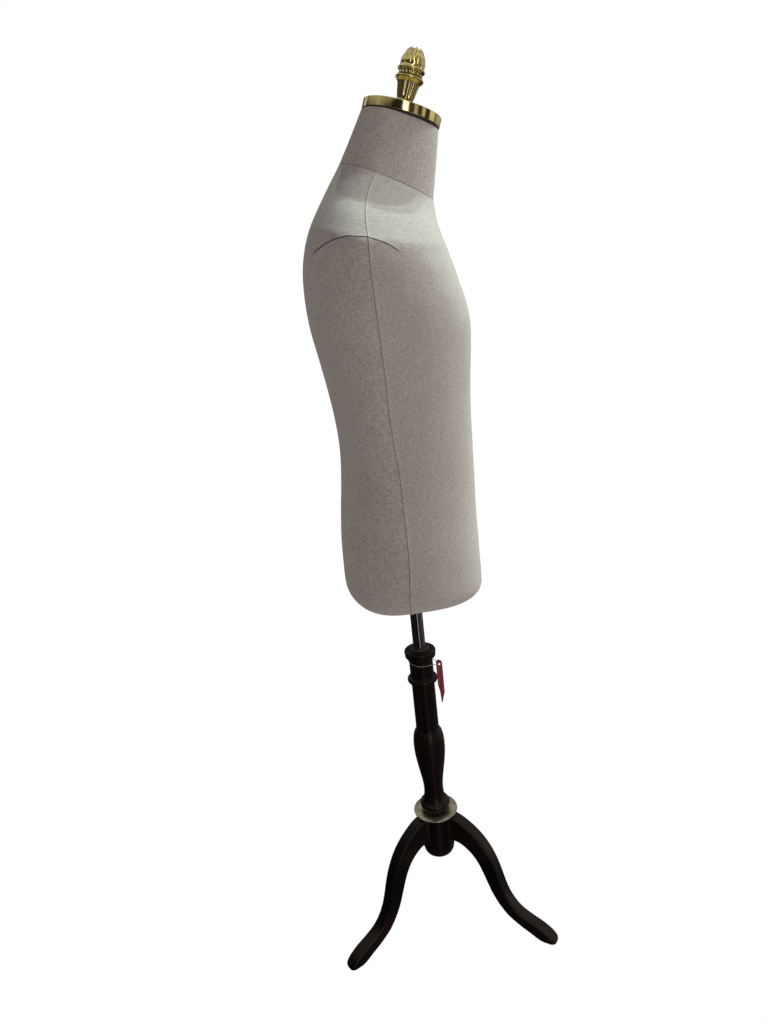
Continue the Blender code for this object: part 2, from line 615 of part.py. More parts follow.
def build_base_board(torso, hip):
    """The board that closes the torso, the cloth under it and the steel socket for the pole."""
    lip_top = TORSO_BOTTOM + CLOTH + GAP + SHELL_WALL
    board_top = lip_top + GAP + BOARD_THICKNESS
    board_mesh = slab("base_board", hip, BOARD_INSET, lip_top + GAP, board_top)
    board = add_object("base_board", board_mesh, "raw wood", parent=torso)
    cover_bottom = TORSO_BOTTOM + 0.0002
    under_mesh = slab("base_cover", hip, LIP_REACH + 0.0006, cover_bottom, lip_top)
    under = add_object("base_cover", under_mesh, "linen", parent=torso)
    hole = cutter("socket_hole", rod("socket_hole", SOCKET_RADIUS + GAP, 0.70, 0.76, ROUND), parent=torso)
    cut(board, hole)
    cut(under, hole)
    flange_top = cover_bottom - GAP
    flange_bottom = flange_top - FLANGE_THICKNESS
    inner = TUBE_RADIUS + TUBE_FIT
    roof = TUBE_TOP + 0.004 + GAP
    outline = [(0, roof), (inner, roof), (inner, flange_bottom), (FLANGE_RADIUS - 0.001, flange_bottom),
               (FLANGE_RADIUS, flange_bottom + 0.001), (FLANGE_RADIUS, flange_top),
               (SOCKET_RADIUS, flange_top), (SOCKET_RADIUS, roof + 0.003), (0, roof + 0.003)]
    socket = add_object("pole_socket", turned("pole_socket", outline), "steel", parent=torso)
    for number in range(SOCKET_SCREW_COUNT):
        turn = 45 + 360 / SOCKET_SCREW_COUNT * number
        place = turned_about_z(turn) @ Matrix.Translation((SOCKET_SCREW_RING, 0, 0))
        name = f"socket_screw_{number + 1}"
        drill = rod(f"screw_hole_{number + 1}", 0.0024, 0.70, SOCKET_SCREW_TIP + 0.0005)
        hole = cutter(f"screw_hole_{number + 1}", drill, place, torso)
        for piece in (board, under, socket):
            cut(piece, hole)
        head_top = flange_bottom - GAP
        mesh = headed_screw(name, 0.0021, SOCKET_SCREW_TIP, 0.0042, head_top - 0.0022, head_top)
        add_object(name, mesh, "steel", place, torso)


# ---------------------------------------------------------------- neck cap and finial
def finial_outline():
    """Foot, fluted vase, lower ring, roped band, upper ring, acorn and its pointed crown."""
    foot = [(0, 0), (0.0118, 0), (0.0122, 0.0012), (0.0112, 0.0030)]
    vase = [(0.0105, 0.0060), (0.0116, 0.0140), (0.0138, 0.0240), (0.0163, 0.0335)]
    lower_ring = [(0.0190, 0.0355), (0.0207, 0.0380), (0.0207, 0.0400), (0.0190, 0.0425)]
    band = [(0.0178, 0.0445), (0.0180, 0.0480)]
    upper_ring = [(0.0196, 0.0495), (0.0202, 0.0520), (0.0190, 0.0545)]
    acorn = [(0.0178, 0.0565), (0.0181, 0.0610), (0.0170, 0.0670), (0.0146, 0.0725), (0.0115, 0.0765)]
    crown = [(0.0080, 0.0795), (0, 0.0810)]
    return foot + vase + lower_ring + band + upper_ring + acorn + crown


def build_neck_cap(torso):
    """Pieces stacked along the leaning axis of the neck; z = 0 is the top of the neck."""
    forward, height = NECK_CENTRE
    lean = Matrix.Translation((0, -forward, height)) @ Matrix.Rotation(math.radians(CAP_LEAN), 4, "X")
    neck = add_empty("neck_axis", lean, torso)
    block_top = -0.0006
    block_bottom = block_top - NECK_BLOCK_DEPTH
    block = [(STUD_HOLE, block_bottom), (0.0470, block_bottom), (0.0480, block_top),
             (STUD_HOLE, block_top)]
    add_object("neck_block", turned("neck_block", block, closed=True), "raw wood", parent=neck)
    low = GAP + 0.0010
    gasket_top = low + GASKET_HEIGHT
    add_object("neck_gasket", washer("neck_gasket", STUD_HOLE, CAP_RADIUS - 0.0008, low, gasket_top, 36),
               "black plastic", parent=neck)
    rim = gasket_top + GAP
    top = rim + CAP_HEIGHT
    inside, roof = CAP_RADIUS - CAP_WALL, top - CAP_WALL
    shell = [(inside, rim), (CAP_RADIUS, rim), (CAP_RADIUS, top - 0.0008),
             (CAP_RADIUS - 0.0008, top), (STUD_HOLE, top), (STUD_HOLE, roof), (inside, roof)]
    add_object("neck_cap", turned("neck_cap", shell, 36, closed=True), "gold", parent=neck)
    core = washer("cap_core", STUD_HOLE, inside - GAP, rim, roof - GAP)
    add_object("cap_core", core, "raw wood", parent=neck)
    seat = top + GAP
    finial = [(radius, z + seat) for radius, z in finial_outline()]
    finial = [(0, seat + 0.014), (STUD_HOLE, seat + 0.014), (STUD_HOLE, seat)] + finial[1:]
    add_object("finial", turned("finial", finial), "gold", parent=neck)
    build_finial_fixing(neck, seat, block_bottom)


def build_finial_fixing(neck, seat, block_bottom):
    """The stud through the cap and the block, and the nut that draws the finial down."""
    stud = rod("finial_stud", STUD_HOLE - GAP, block_bottom - 0.012, seat + 0.0135)
    add_object("finial_stud", stud, "steel", parent=neck)
    washer_low = block_bottom - GAP - 0.0015
    add_object("finial_washer", washer("finial_washer", STUD_HOLE, 0.010, washer_low,
                                       block_bottom - GAP, SMALL_ROUND), "steel", parent=neck)
    nut_top = washer_low - GAP
    corner = STUD_HOLE / math.cos(math.pi / 6)
    nut = washer("finial_nut", corner, 0.0075, nut_top - 0.005, nut_top, 6)
    add_object("finial_nut", nut, "steel", parent=neck)


# ---------------------------------------------------------------- whole object
def build():
    clear_scene()
    stand = add_empty("stand_axis")
    lift = add_empty("height_axis")
    torso = add_empty("swivel_axis")
    hub_tool = cutter("hub_cut", rod("hub_cut", HUB_RADIUS + GAP, 0.14, 0.26, ROUND), parent=stand)
    holes = []
    for number, angle in enumerate(LEG_ANGLES, 1):
        holes += build_leg(number, angle, stand, hub_tool)
    build_hub(stand, holes)
    build_tie(stand)
    build_base_ring(stand)
    build_column(stand)
    build_clamp(stand)
    build_tag(stand)
    build_loop(stand)
    build_pole(lift)
    build_torso(torso)
    build_neck_cap(torso)
    bpy.context.view_layer.update()


build()
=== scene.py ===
"""Looks of the dress form: linen covers, brass cap and finial, chrome pole, turned wooden stand."""
import json
import math

import bmesh
import bpy
import numpy as np
from mathutils import Matrix, Vector


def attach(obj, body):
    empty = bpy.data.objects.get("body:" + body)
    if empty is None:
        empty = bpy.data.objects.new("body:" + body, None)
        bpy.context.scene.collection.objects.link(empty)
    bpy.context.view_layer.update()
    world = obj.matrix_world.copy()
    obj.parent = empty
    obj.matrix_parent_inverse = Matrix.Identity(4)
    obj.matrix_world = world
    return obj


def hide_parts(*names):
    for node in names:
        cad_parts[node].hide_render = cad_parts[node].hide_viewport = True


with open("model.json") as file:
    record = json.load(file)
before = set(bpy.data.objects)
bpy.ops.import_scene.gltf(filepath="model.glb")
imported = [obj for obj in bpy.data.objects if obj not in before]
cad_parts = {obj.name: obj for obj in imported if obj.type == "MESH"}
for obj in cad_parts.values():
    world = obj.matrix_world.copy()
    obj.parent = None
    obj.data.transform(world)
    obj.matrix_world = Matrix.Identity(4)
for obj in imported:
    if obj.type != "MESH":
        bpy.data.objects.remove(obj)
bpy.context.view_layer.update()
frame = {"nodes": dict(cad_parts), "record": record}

# ---------------------------------------------------------------- sizes shared with the CAD model
GAP = 0.0003
CLOTH, YARN_PITCH = 0.0008, 0.0016
LEG_ANGLES = (-2.0, 118.0, 238.0)
HUB_RADIUS, HUB_BOTTOM, HUB_TOP = 0.0305, 0.149, 0.243
RING_RADIUS, RING_THICKNESS = 0.0418, 0.006
TENON_RADIUS, TENON_BOTTOM = 0.0127, 0.2225
COLUMN_FOOT = HUB_TOP + RING_THICKNESS + 2 * GAP
COLUMN_TOP, BORE_RADIUS, BORE_FLOOR = 0.592, 0.0122, 0.296
NECK_RADIUS, BUSH_RADIUS, BUSH_DEPTH = 0.0214, 0.0145, 0.025
TUBE_RADIUS, TUBE_WALL, TUBE_FIT = 0.01115, 0.0012, 0.0001
TUBE_BOTTOM, TUBE_TOP = 0.4, 0.86
SOCKET_RADIUS, FLANGE_RADIUS, FLANGE_THICKNESS = 0.0138, 0.036, 0.0025
CLAMP_ANGLE, CLAMP_HEIGHT, SCREW_RADIUS = -5.0, 0.555, 0.00395
TAG_ANGLE, TAG_REACH, TAG_PIVOT_HEIGHT = -112.5, 0.0336, 0.563
TAG_WIDTH, TAG_LENGTH, TAG_THICKNESS, TAG_HOLE = 0.0114, 0.087, 0.001, 0.00225
LOOP_RADIUS, LOOP_RISE = 0.0006, 0.12
TORSO_BOTTOM, LIP_REACH = 0.7265, 0.044
# radius of the turned-under edge at the sides, in front and behind; how fast it falls towards the front
SIDE_CORNER, FRONT_CORNER, BACK_CORNER, FRONT_DIP = 0.038, 0.011, 0.025, 0.065
STUD_HOLE, CAP_WALL, CAP_LEAN, CAP_RADIUS, CAP_HEIGHT = 0.0034, 0.0012, 19.6, 0.0588, 0.013
GASKET_HEIGHT, NECK_CENTRE = 0.0018, (0.049, 1.45)
# back (forward, z), front (forward, z), half width, droop of the sides, squareness
STATIONS = np.array([(b[0], b[1], f[0], f[1], w, d, q) for b, f, w, d, q in (
    ((-0.0065, 1.4698), (0.1045, 1.4302), 0.0560, 0.000, 2.00),
    ((-0.0275, 1.4330), (0.0970, 1.3850), 0.0590, 0.000, 2.00),
    ((-0.0470, 1.4000), (0.0882, 1.3360), 0.0650, 0.000, 2.05),
    ((-0.0615, 1.3795), (0.0895, 1.3190), 0.0950, 0.006, 2.05),
    ((-0.0755, 1.3590), (0.0905, 1.3040), 0.1320, 0.008, 2.05),
    ((-0.0880, 1.3400), (0.0922, 1.2920), 0.1660, 0.010, 2.10),
    ((-0.0990, 1.3220), (0.0945, 1.2800), 0.1940, 0.012, 2.10),
    ((-0.1065, 1.3070), (0.0980, 1.2680), 0.2105, 0.010, 2.15),
    ((-0.1140, 1.2870), (0.1020, 1.2530), 0.2162, 0.008, 2.15),
    ((-0.1197, 1.2640), (0.1070, 1.2370), 0.2172, 0.006, 2.20),
    ((-0.1228, 1.2400), (0.1125, 1.2180), 0.2160, 0.003, 2.20),
    ((-0.1237, 1.2060), (0.1200, 1.1920), 0.2110, 0.000, 2.25),
    ((-0.1212, 1.1680), (0.1255, 1.1580), 0.2010, 0.000, 2.30),
    ((-0.1138, 1.1220), (0.1245, 1.1180), 0.1880, 0.000, 2.30),
    ((-0.1058, 1.0700), (0.1208, 1.0700), 0.1750, 0.000, 2.30),
    ((-0.1000, 1.0180), (0.1185, 1.0180), 0.1640, 0.000, 2.30),
    ((-0.0985, 0.9660), (0.1178, 0.9660), 0.1570, 0.000, 2.30),
    ((-0.1028, 0.9140), (0.1168, 0.9140), 0.1560, 0.000, 2.30),
    ((-0.1095, 0.8620), (0.1155, 0.8620), 0.1610, 0.000, 2.30),
    ((-0.1145, 0.8120), (0.1152, 0.8120), 0.1670, 0.000, 2.35),
    ((-0.1165, 0.7560), (0.1150, 0.7560), 0.1690, 0.000, 2.50))])
# where each cut piece was taken from the bolt, so that no grain repeats
CUT_FROM = {"front_linen": 0.0, "back_linen": 1.7, "neck_linen": 3.1, "base_linen": 4.4}
NECK_ROWS = 2              # the neck seam lies on this station
LAST = len(STATIONS) - 1
STATION_SPACING = 0.0185   # metres of cloth between two stations near the shoulder's point
# forward place of the side and shoulder seam, by height
SEAM_LINE = ((0.72, -0.025), (0.76, -0.023), (0.82, -0.0178), (0.89, -0.0172), (0.952, -0.0178),
             (1.008, -0.0225), (1.056, -0.0255), (1.1, -0.0262), (1.152, -0.029), (1.214, -0.032),
             (1.252, -0.033), (1.293, -0.031), (1.316, -0.0265), (1.341, -0.0156), (1.37, 0.0003),
             (1.4, 0.0125), (1.48, 0.045))
# the sewn line over the point of the shoulder: (forward, height)
SHOULDER_ARC = ((-0.1044, 1.274), (-0.09, 1.283), (-0.0754, 1.2885), (-0.056, 1.2905),
                (-0.0334, 1.287), (-0.019, 1.2815), (-0.0034, 1.2735), (0.0111, 1.262))


# ---------------------------------------------------------------- materials
def node(tree, kind, values=None, **settings):
    """A shader node. values maps input names or numbers to sockets or plain values."""
    made = tree.nodes.new(kind)
    for key, value in settings.items():
        setattr(made, key, value)
    for key, value in (values or {}).items():
        if isinstance(value, bpy.types.NodeSocket):
            tree.links.new(value, made.inputs[key])
        else:
            made.inputs[key].default_value = value
    return made


def new_material(name, **sockets):
    made = bpy.data.materials.new(name)
    made.use_nodes = True
    tree = made.node_tree
    shader = tree.nodes["Principled BSDF"]
    for key, value in sockets.items():
        shader.inputs[key.replace("_", " ")].default_value = value
    return made, tree, shader


def noise(tree, vector, scale, detail=2.0, stretch=(1, 1, 1), roughness=0.5):
    """Noise whose grains are 1/scale metres, longer where stretch is below 1."""
    squeezed = node(tree, "ShaderNodeMapping", {"Vector": vector, "Scale": stretch})
    return node(tree, "ShaderNodeTexNoise", {"Vector": squeezed.outputs[0], "Scale": scale,
                                             "Detail": detail, "Roughness": roughness}).outputs["Fac"]


def ramp(tree, factor, *stops):
    """Stops are (place, grey) or (place, (r, g, b))."""
    made = node(tree, "ShaderNodeValToRGB", {"Fac": factor})
    points = made.color_ramp.elements
    while len(points) < len(stops):
        points.new(0.5)
    for point, (place, tone) in zip(points, stops):
        point.position = place
        point.color = (*tone, 1) if isinstance(tone, tuple) else (tone, tone, tone, 1)
    return made.outputs[0]


def maths(tree, operation, a, b=0.0, c=0.0):
    return node(tree, "ShaderNodeMath", {0: a, 1: b, 2: c}, operation=operation).outputs[0]


def mixed(tree, factor, a, b, blend="MIX"):
    made = node(tree, "ShaderNodeMix", data_type="RGBA", blend_type=blend)
    for key, value in ((0, factor), (6, a), (7, b)):
        if isinstance(value, bpy.types.NodeSocket):
            tree.links.new(value, made.inputs[key])
        else:
            made.inputs[key].default_value = (*value, 1) if isinstance(value, tuple) else value
    return made.outputs[2]


def bump(tree, shader, height, distance, strength=1.0):
    made = node(tree, "ShaderNodeBump", {"Height": height, "Distance": distance, "Strength": strength})
    tree.links.new(made.outputs[0], shader.inputs["Normal"])


def own_place(tree):
    return node(tree, "ShaderNodeTexCoord").outputs["Object"]


def painted(tree, shader, colour, roughness=None):
    tree.links.new(colour, shader.inputs["Base Color"])
    if roughness:
        tree.links.new(roughness, shader.inputs["Roughness"])


def edges_of(tree, low, high):
    """0 on flats and in hollows, 1 on worn edges."""
    sharp = node(tree, "ShaderNodeNewGeometry").outputs["Pointiness"]
    return ramp(tree, sharp, (low, 0.0), (high, 1.0))


def linen(name):
    """Plain-weave linen: yarns of uneven thickness, faint clouds of warmer grey, short dark slubs."""
    made, tree, shader = new_material(name, Roughness=0.92, Sheen_Weight=0.1, Sheen_Roughness=0.6,
                                      Specular_IOR_Level=0.12)
    place = node(tree, "ShaderNodeAttribute", attribute_name="cloth").outputs["Vector"]
    weft = noise(tree, place, 1.0, 3.0, (180, 620, 1), 0.6)
    warp = noise(tree, place, 1.0, 3.0, (760, 90, 1), 0.6)
    blotch = noise(tree, place, 22.0, 4.0, (1, 1, 1), 0.65)
    colour = ramp(tree, weft, (0.3, (0.325, 0.298, 0.264)), (0.5, (0.41, 0.388, 0.348)),
                  (0.7, (0.49, 0.472, 0.43)))
    colour = mixed(tree, 0.6, colour, ramp(tree, warp, (0.28, 0.74), (0.72, 1.14)), "MULTIPLY")
    clouds = ramp(tree, blotch, (0.32, (0.89, 0.86, 0.85)), (0.6, (1.0, 1.0, 1.0)))
    colour = mixed(tree, 0.5, colour, clouds, "MULTIPLY")
    slub = noise(tree, place, 1.0, 1.0, (230, 600, 1))
    colour = mixed(tree, ramp(tree, slub, (0.63, 0.0), (0.71, 0.5)), colour, (0.15, 0.125, 0.105))
    nub = noise(tree, place, 1.0, 1.0, (330, 380, 1))
    colour = mixed(tree, ramp(tree, nub, (0.68, 0.0), (0.74, 0.5)), colour, (0.16, 0.13, 0.11))
    axes = node(tree, "ShaderNodeSeparateXYZ", {0: place})
    over, under = (maths(tree, "SINE", maths(tree, "MULTIPLY", axes.outputs[way], 2 * math.pi / YARN_PITCH))
                   for way in (0, 1))
    weave = maths(tree, "MULTIPLY", over, under)
    dip = maths(tree, "MULTIPLY_ADD", maths(tree, "ABSOLUTE", weave), 0.2, 0.88)
    shade = node(tree, "ShaderNodeCombineColor", {0: dip, 1: dip, 2: dip}).outputs[0]
    colour = mixed(tree, 1.0, colour, shade, "MULTIPLY")
    sewn = node(tree, "ShaderNodeAttribute", attribute_name="seam").outputs["Fac"]
    painted(tree, shader, mixed(tree, maths(tree, "MULTIPLY", sewn, 0.85), colour, (0.06, 0.05, 0.042)))
    height = maths(tree, "MULTIPLY_ADD", weave, 0.35, maths(tree, "ADD", weft, warp))
    bump(tree, shader, height, 0.0005, 0.45)
    return made


def lacquered_wood(name, grain=(1, 1, 0.05)):
    """Near-black espresso stain under satin lacquer, rubbed a little brown on its edges."""
    made, tree, shader = new_material(name, Coat_Weight=0.1, Coat_Roughness=0.16, Specular_IOR_Level=0.12)
    place = own_place(tree)
    streak = noise(tree, place, 120.0, 4.0, grain, 0.6)
    pore = noise(tree, place, 900.0, 2.0, grain)
    cloudy = noise(tree, place, 14.0, 3.0)
    colour = ramp(tree, streak, (0.3, (0.0022, 0.0014, 0.0012)), (0.55, (0.0042, 0.0025, 0.002)),
                  (0.75, (0.0105, 0.0056, 0.004)))
    colour = mixed(tree, ramp(tree, cloudy, (0.46, 0.0), (0.7, 0.45)), colour, (0.017, 0.0078, 0.0052))
    rubbed = maths(tree, "MULTIPLY", edges_of(tree, 0.54, 0.62), 0.35)
    colour = mixed(tree, rubbed, colour, (0.085, 0.042, 0.024))
    painted(tree, shader, colour, ramp(tree, streak, (0.3, 0.3), (0.7, 0.44)))
    bump(tree, shader, maths(tree, "MULTIPLY_ADD", pore, 0.5, streak), 0.00025, 0.35)
    return made


def bare_wood(name, grain=(1, 0.06, 1)):
    made, tree, shader = new_material(name, Roughness=0.72)
    place = own_place(tree)
    streak = noise(tree, place, 160.0, 4.0, grain, 0.65)
    painted(tree, shader, ramp(tree, streak, (0.3, (0.28, 0.17, 0.085)), (0.5, (0.42, 0.28, 0.155)),
                               (0.72, (0.52, 0.37, 0.22))))
    bump(tree, shader, streak, 0.0003, 0.4)
    return made


def metal(name, dark, light, rough, brushed=None, tarnish=0.0):
    """Metal with fine polishing marks; brushed stretches them, tarnish darkens the hollows."""
    made, tree, shader = new_material(name, Metallic=1.0)
    place = own_place(tree)
    smear = noise(tree, place, 45.0, 4.0)
    marks = noise(tree, place, 700.0, 3.0, brushed or (1, 1, 1), 0.6)
    colour = ramp(tree, smear, (0.3, dark), (0.7, light))
    if tarnish:
        sharp = node(tree, "ShaderNodeNewGeometry").outputs["Pointiness"]
        dirt = maths(tree, "MULTIPLY", ramp(tree, sharp, (0.4, 1.0), (0.485, 0.0)), tarnish)
        colour = mixed(tree, dirt, colour, (0.03, 0.02, 0.008))
    wear = maths(tree, "MULTIPLY_ADD", marks, 0.6, maths(tree, "MULTIPLY", smear, 0.4))
    painted(tree, shader, colour, ramp(tree, wear, (0.3, rough * 0.7), (0.7, rough * 1.5)))
    bump(tree, shader, marks, 0.00004, 0.5 if brushed else 0.25)
    return made


def turned_brass(name):
    """Pale aged brass with the circular marks of the lathe round the pole."""
    made, tree, shader = new_material(name, Metallic=1.0)
    axes = node(tree, "ShaderNodeSeparateXYZ", {0: own_place(tree)})
    squares = [maths(tree, "MULTIPLY", axes.outputs[way], axes.outputs[way]) for way in (0, 1)]
    reach = maths(tree, "SQRT", maths(tree, "ADD", *squares))
    place = node(tree, "ShaderNodeCombineXYZ", {0: reach, 2: axes.outputs[2]}).outputs[0]
    rings = noise(tree, place, 1800.0, 4.0, (1, 1, 0.6), 0.7)
    stain = noise(tree, own_place(tree), 60.0, 5.0, (1, 1, 1), 0.6)
    colour = ramp(tree, stain, (0.25, (0.24, 0.23, 0.155)), (0.5, (0.44, 0.42, 0.3)),
                  (0.75, (0.62, 0.6, 0.46)))
    colour = mixed(tree, 0.5, colour, ramp(tree, rings, (0.3, 0.6), (0.7, 1.15)), "MULTIPLY")
    painted(tree, shader, colour, ramp(tree, rings, (0.3, 0.26), (0.7, 0.42)))
    bump(tree, shader, rings, 0.00012, 0.6)
    return made


def moulded(name, dark, light, worn, rough):
    """Plastic: fine surface grain, faint cloudiness, worn edges."""
    made, tree, shader = new_material(name)
    place = own_place(tree)
    skin = noise(tree, place, 900.0, 2.0)
    colour = ramp(tree, noise(tree, place, 90.0, 3.0), (0.3, dark), (0.7, light))
    colour = mixed(tree, maths(tree, "MULTIPLY", edges_of(tree, 0.53, 0.6), 0.6), colour, worn)
    painted(tree, shader, colour, ramp(tree, skin, (0.3, rough * 0.85), (0.7, rough * 1.2)))
    bump(tree, shader, skin, 0.00006, 0.4)
    return made


def red_card(name):
    """Faded red coated card, scuffed grey round its punched hole, its tapered tip greyed by painted shade."""
    made, tree, shader = new_material(name, Specular_IOR_Level=0.4)
    place = own_place(tree)
    fade = noise(tree, place, 220.0, 4.0, (1, 1, 0.25), 0.65)
    colour = ramp(tree, fade, (0.28, (0.165, 0.02, 0.028)), (0.52, (0.285, 0.035, 0.047)),
                  (0.78, (0.42, 0.085, 0.095)))
    axes = node(tree, "ShaderNodeSeparateXYZ", {0: place})
    rise = node(tree, "ShaderNodeMapRange", {0: axes.outputs[2], 1: -0.0035, 2: 0.0045}).outputs[0]
    # painted shade: the tapered tip is greyed as if it turned away from the light
    tip = node(tree, "ShaderNodeMapRange", {0: axes.outputs[2], 1: -0.06, 2: -0.078}).outputs[0]
    patchy = ramp(tree, fade, (0.4, 0.25), (0.6, 1.0))
    # real grey scuffs round the hole, plus the painted shade on the tip
    scuff_and_tip_shade = maths(tree, "MULTIPLY", maths(tree, "MAXIMUM", rise, tip), patchy)
    colour = mixed(tree, maths(tree, "MULTIPLY", scuff_and_tip_shade, 0.65), colour, (0.13, 0.095, 0.09))
    painted(tree, shader, colour, ramp(tree, fade, (0.3, 0.4), (0.7, 0.6)))
    bump(tree, shader, fade, 0.0001, 0.5)
    return made


def clear_nylon(name):
    made, tree, shader = new_material(name, Transmission_Weight=0.85, IOR=1.5)
    cloud = noise(tree, own_place(tree), 600.0, 2.0)
    painted(tree, shader, ramp(tree, cloud, (0.3, (0.8, 0.82, 0.82)), (0.7, (0.93, 0.94, 0.94))),
            ramp(tree, cloud, (0.3, 0.12), (0.7, 0.3)))
    return made


def pressed_paper(name):
    made, tree, shader = new_material(name, Roughness=0.88)
    pulp = noise(tree, own_place(tree), 90.0, 5.0, (1, 1, 1), 0.7)
    painted(tree, shader, ramp(tree, pulp, (0.3, (0.33, 0.27, 0.19)), (0.7, (0.52, 0.45, 0.34))))
    bump(tree, shader, pulp, 0.0008, 0.5)
    return made


LOOKS = {
    "wood": lacquered_wood("stained_wood"),
    "leg_wood": lacquered_wood("stained_leg_wood", (0.1, 1, 0.1)),
    "raw_wood": bare_wood("bare_wood"),
    "linen": linen("linen"),
    "shell": pressed_paper("pressed_paper"),
    "gold": metal("polished_brass", (0.52, 0.43, 0.15), (0.76, 0.67, 0.32), 0.09, tarnish=0.9),
    "old_brass": turned_brass("lathe_turned_brass"),
    "insert_brass": metal("dull_brass", (0.34, 0.28, 0.15), (0.48, 0.4, 0.22), 0.32, tarnish=0.5),
    "chrome": metal("dark_chrome", (0.46, 0.4, 0.41), (0.58, 0.52, 0.53), 0.075, (1, 1, 0.02)),
    "steel": metal("plated_steel", (0.38, 0.38, 0.39), (0.56, 0.56, 0.57), 0.3, tarnish=0.4),
    "black_plastic": moulded("black_nylon", (0.01,) * 3, (0.02, 0.02, 0.021), (0.06,) * 3, 0.42),
    "clear_plastic": clear_nylon("clear_nylon"),
    "red_card": red_card("red_card"),
}
SLOT_OF = {part["node"]: part["material_slot"] for part in frame["record"]["subparts"]}
for name, thing in frame["nodes"].items():
    look = LOOKS["insert_brass" if name in ("clamp_insert", "clamp_shoe") else SLOT_OF[name]]
    for place in thing.material_slots:
        place.link = "OBJECT"
        place.material = look


# ---------------------------------------------------------------- mesh helpers
def settle(name, mesh, body, look, replaced=(), place=Matrix.Identity(4), sharp=32, slot=None):
    """Put a finished mesh in the scene: its look, the body it rides on and the nodes it stands for."""
    piece = bpy.data.objects.new(name, mesh)
    bpy.context.collection.objects.link(piece)
    piece.matrix_world = place
    mesh.materials.clear()
    mesh.materials.append(LOOKS[look])
    mesh.shade_smooth()
    mesh.set_sharp_from_angle(angle=math.radians(sharp))
    bpy.context.view_layer.update()
    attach(piece, body)
    if replaced:
        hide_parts(*replaced)
        slot = slot or SLOT_OF[replaced[0]]
    slot or look
    return piece


def mesh_from(name, points, faces, merge=1e-7):
    mesh = bpy.data.meshes.new(name)
    mesh.from_pydata([tuple(point) for point in points], [], faces)
    builder = bmesh.new()
    builder.from_mesh(mesh)
    if merge:
        bmesh.ops.remove_doubles(builder, verts=builder.verts, dist=merge)
    bmesh.ops.recalc_face_normals(builder, faces=builder.faces)
    builder.to_mesh(mesh)
    builder.free()
    return mesh


def tube_faces(rings, sides, looped=False):
    """Side faces of a skin whose cross-sections are given one after another, each with the same sides."""
    starts = [number * sides for number in range(rings)]
    faces = []
    for a, b in zip(starts, starts[1:] + starts[:1] if looped else starts[1:]):
        faces += [[a + c, a + (c + 1) % sides, b + (c + 1) % sides, b + c] for c in range(sides)]
    return faces


def whole_turn(count):
    return np.arange(count) * 2 * math.pi / count


def revolved(name, outline, facets=96, closed=False, ripple=None):
    """Spin (radius, height) points round Z. ripple(height, angles) scales the radius."""
    angles = whole_turn(facets)
    points, faces, rings = [], [], []
    for radius, height in outline:
        if radius < 1e-9:
            rings.append([len(points)] * facets)
            points.append((0.0, 0.0, height))
            continue
        reach = radius * (ripple(height, angles) if ripple else np.ones(facets))
        rings.append(list(range(len(points), len(points) + facets)))
        points += zip(reach * np.cos(angles), reach * np.sin(angles), [height] * facets)
    pairs = list(zip(rings, rings[1:])) + ([(rings[-1], rings[0])] if closed else [])
    for low, high in pairs:
        for a in range(facets):
            b = (a + 1) % facets
            corners = list(dict.fromkeys((low[a], low[b], high[b], high[a])))
            if len(corners) > 2:
                faces.append(corners)
    return mesh_from(name, points, faces)


def turned(name, outline, facets, closed, body, look, stands_for, place=Matrix.Identity(4), sharp=32,
           ripple=None):
    """A piece made on a lathe, put in the scene."""
    mesh = revolved(name, outline, facets, closed, ripple)
    return settle(name, mesh, body, look, (stands_for,), place, sharp)


def arc(centre, radius, start, end, steps):
    angles = np.radians(np.linspace(start, end, steps + 1))
    return list(zip(centre[0] + radius * np.cos(angles), centre[1] + radius * np.sin(angles)))


def smooth_line(points, steps):
    """Catmull-Rom points through a list of points of any dimension, ends included."""
    given = np.array(points, float)
    line = np.vstack([2 * given[0] - given[1], given, 2 * given[-1] - given[-2]])
    made = [tuple(spline(line[i - 1:i + 3], share))
            for i in range(1, len(line) - 2) for share in np.arange(steps) / steps]
    return made + [tuple(given[-1])]


def spline(four, share):
    a, b, c, d = four
    return 0.5 * (2 * b + (c - a) * share + (2 * a - 5 * b + 4 * c - d) * share ** 2
                  + (3 * b - a - 3 * c + d) * share ** 3)


def carved(piece, tool_mesh, place):
    """Cut a tool shape out of a piece for good."""
    tool = bpy.data.objects.new("tool", tool_mesh)
    bpy.context.collection.objects.link(tool)
    tool.matrix_world = place
    cut = piece.modifiers.new("cut", "BOOLEAN")
    cut.operation, cut.solver, cut.object = "DIFFERENCE", "EXACT", tool
    graph = bpy.context.evaluated_depsgraph_get()
    made = bpy.data.meshes.new_from_object(piece.evaluated_get(graph))
    piece.modifiers.clear()
    piece.data = made
    bpy.data.objects.remove(tool, do_unlink=True)


def drilled(piece, radius, start, end, place, facets=20):
    carved(piece, revolved("drill", [(0, start), (radius, start), (radius, end), (0, end)], facets), place)


def turn_z(degrees):
    return Matrix.Rotation(math.radians(degrees), 4, "Z")


def radial_frame(degrees, height):
    return Matrix.Translation((0, 0, height)) @ turn_z(degrees) @ Matrix.Rotation(math.radians(90), 4, "Y")


# ---------------------------------------------------------------- torso surface
def station_at(t, first, last):
    """Sections between stations first and last, as a smooth curve through them."""
    rows = STATIONS[first:last + 1]
    line = np.vstack([2 * rows[0] - rows[1], rows, 2 * rows[-1] - rows[-2]])
    t = np.clip(np.asarray(t, float) - first, 0, last - first - 1e-9)
    i = t.astype(int)
    share = (t - i)[..., None]
    return spline((line[i], line[i + 1], line[i + 2], line[i + 3]), share)


SEAM_CURVE = np.array(smooth_line(SEAM_LINE, 6))


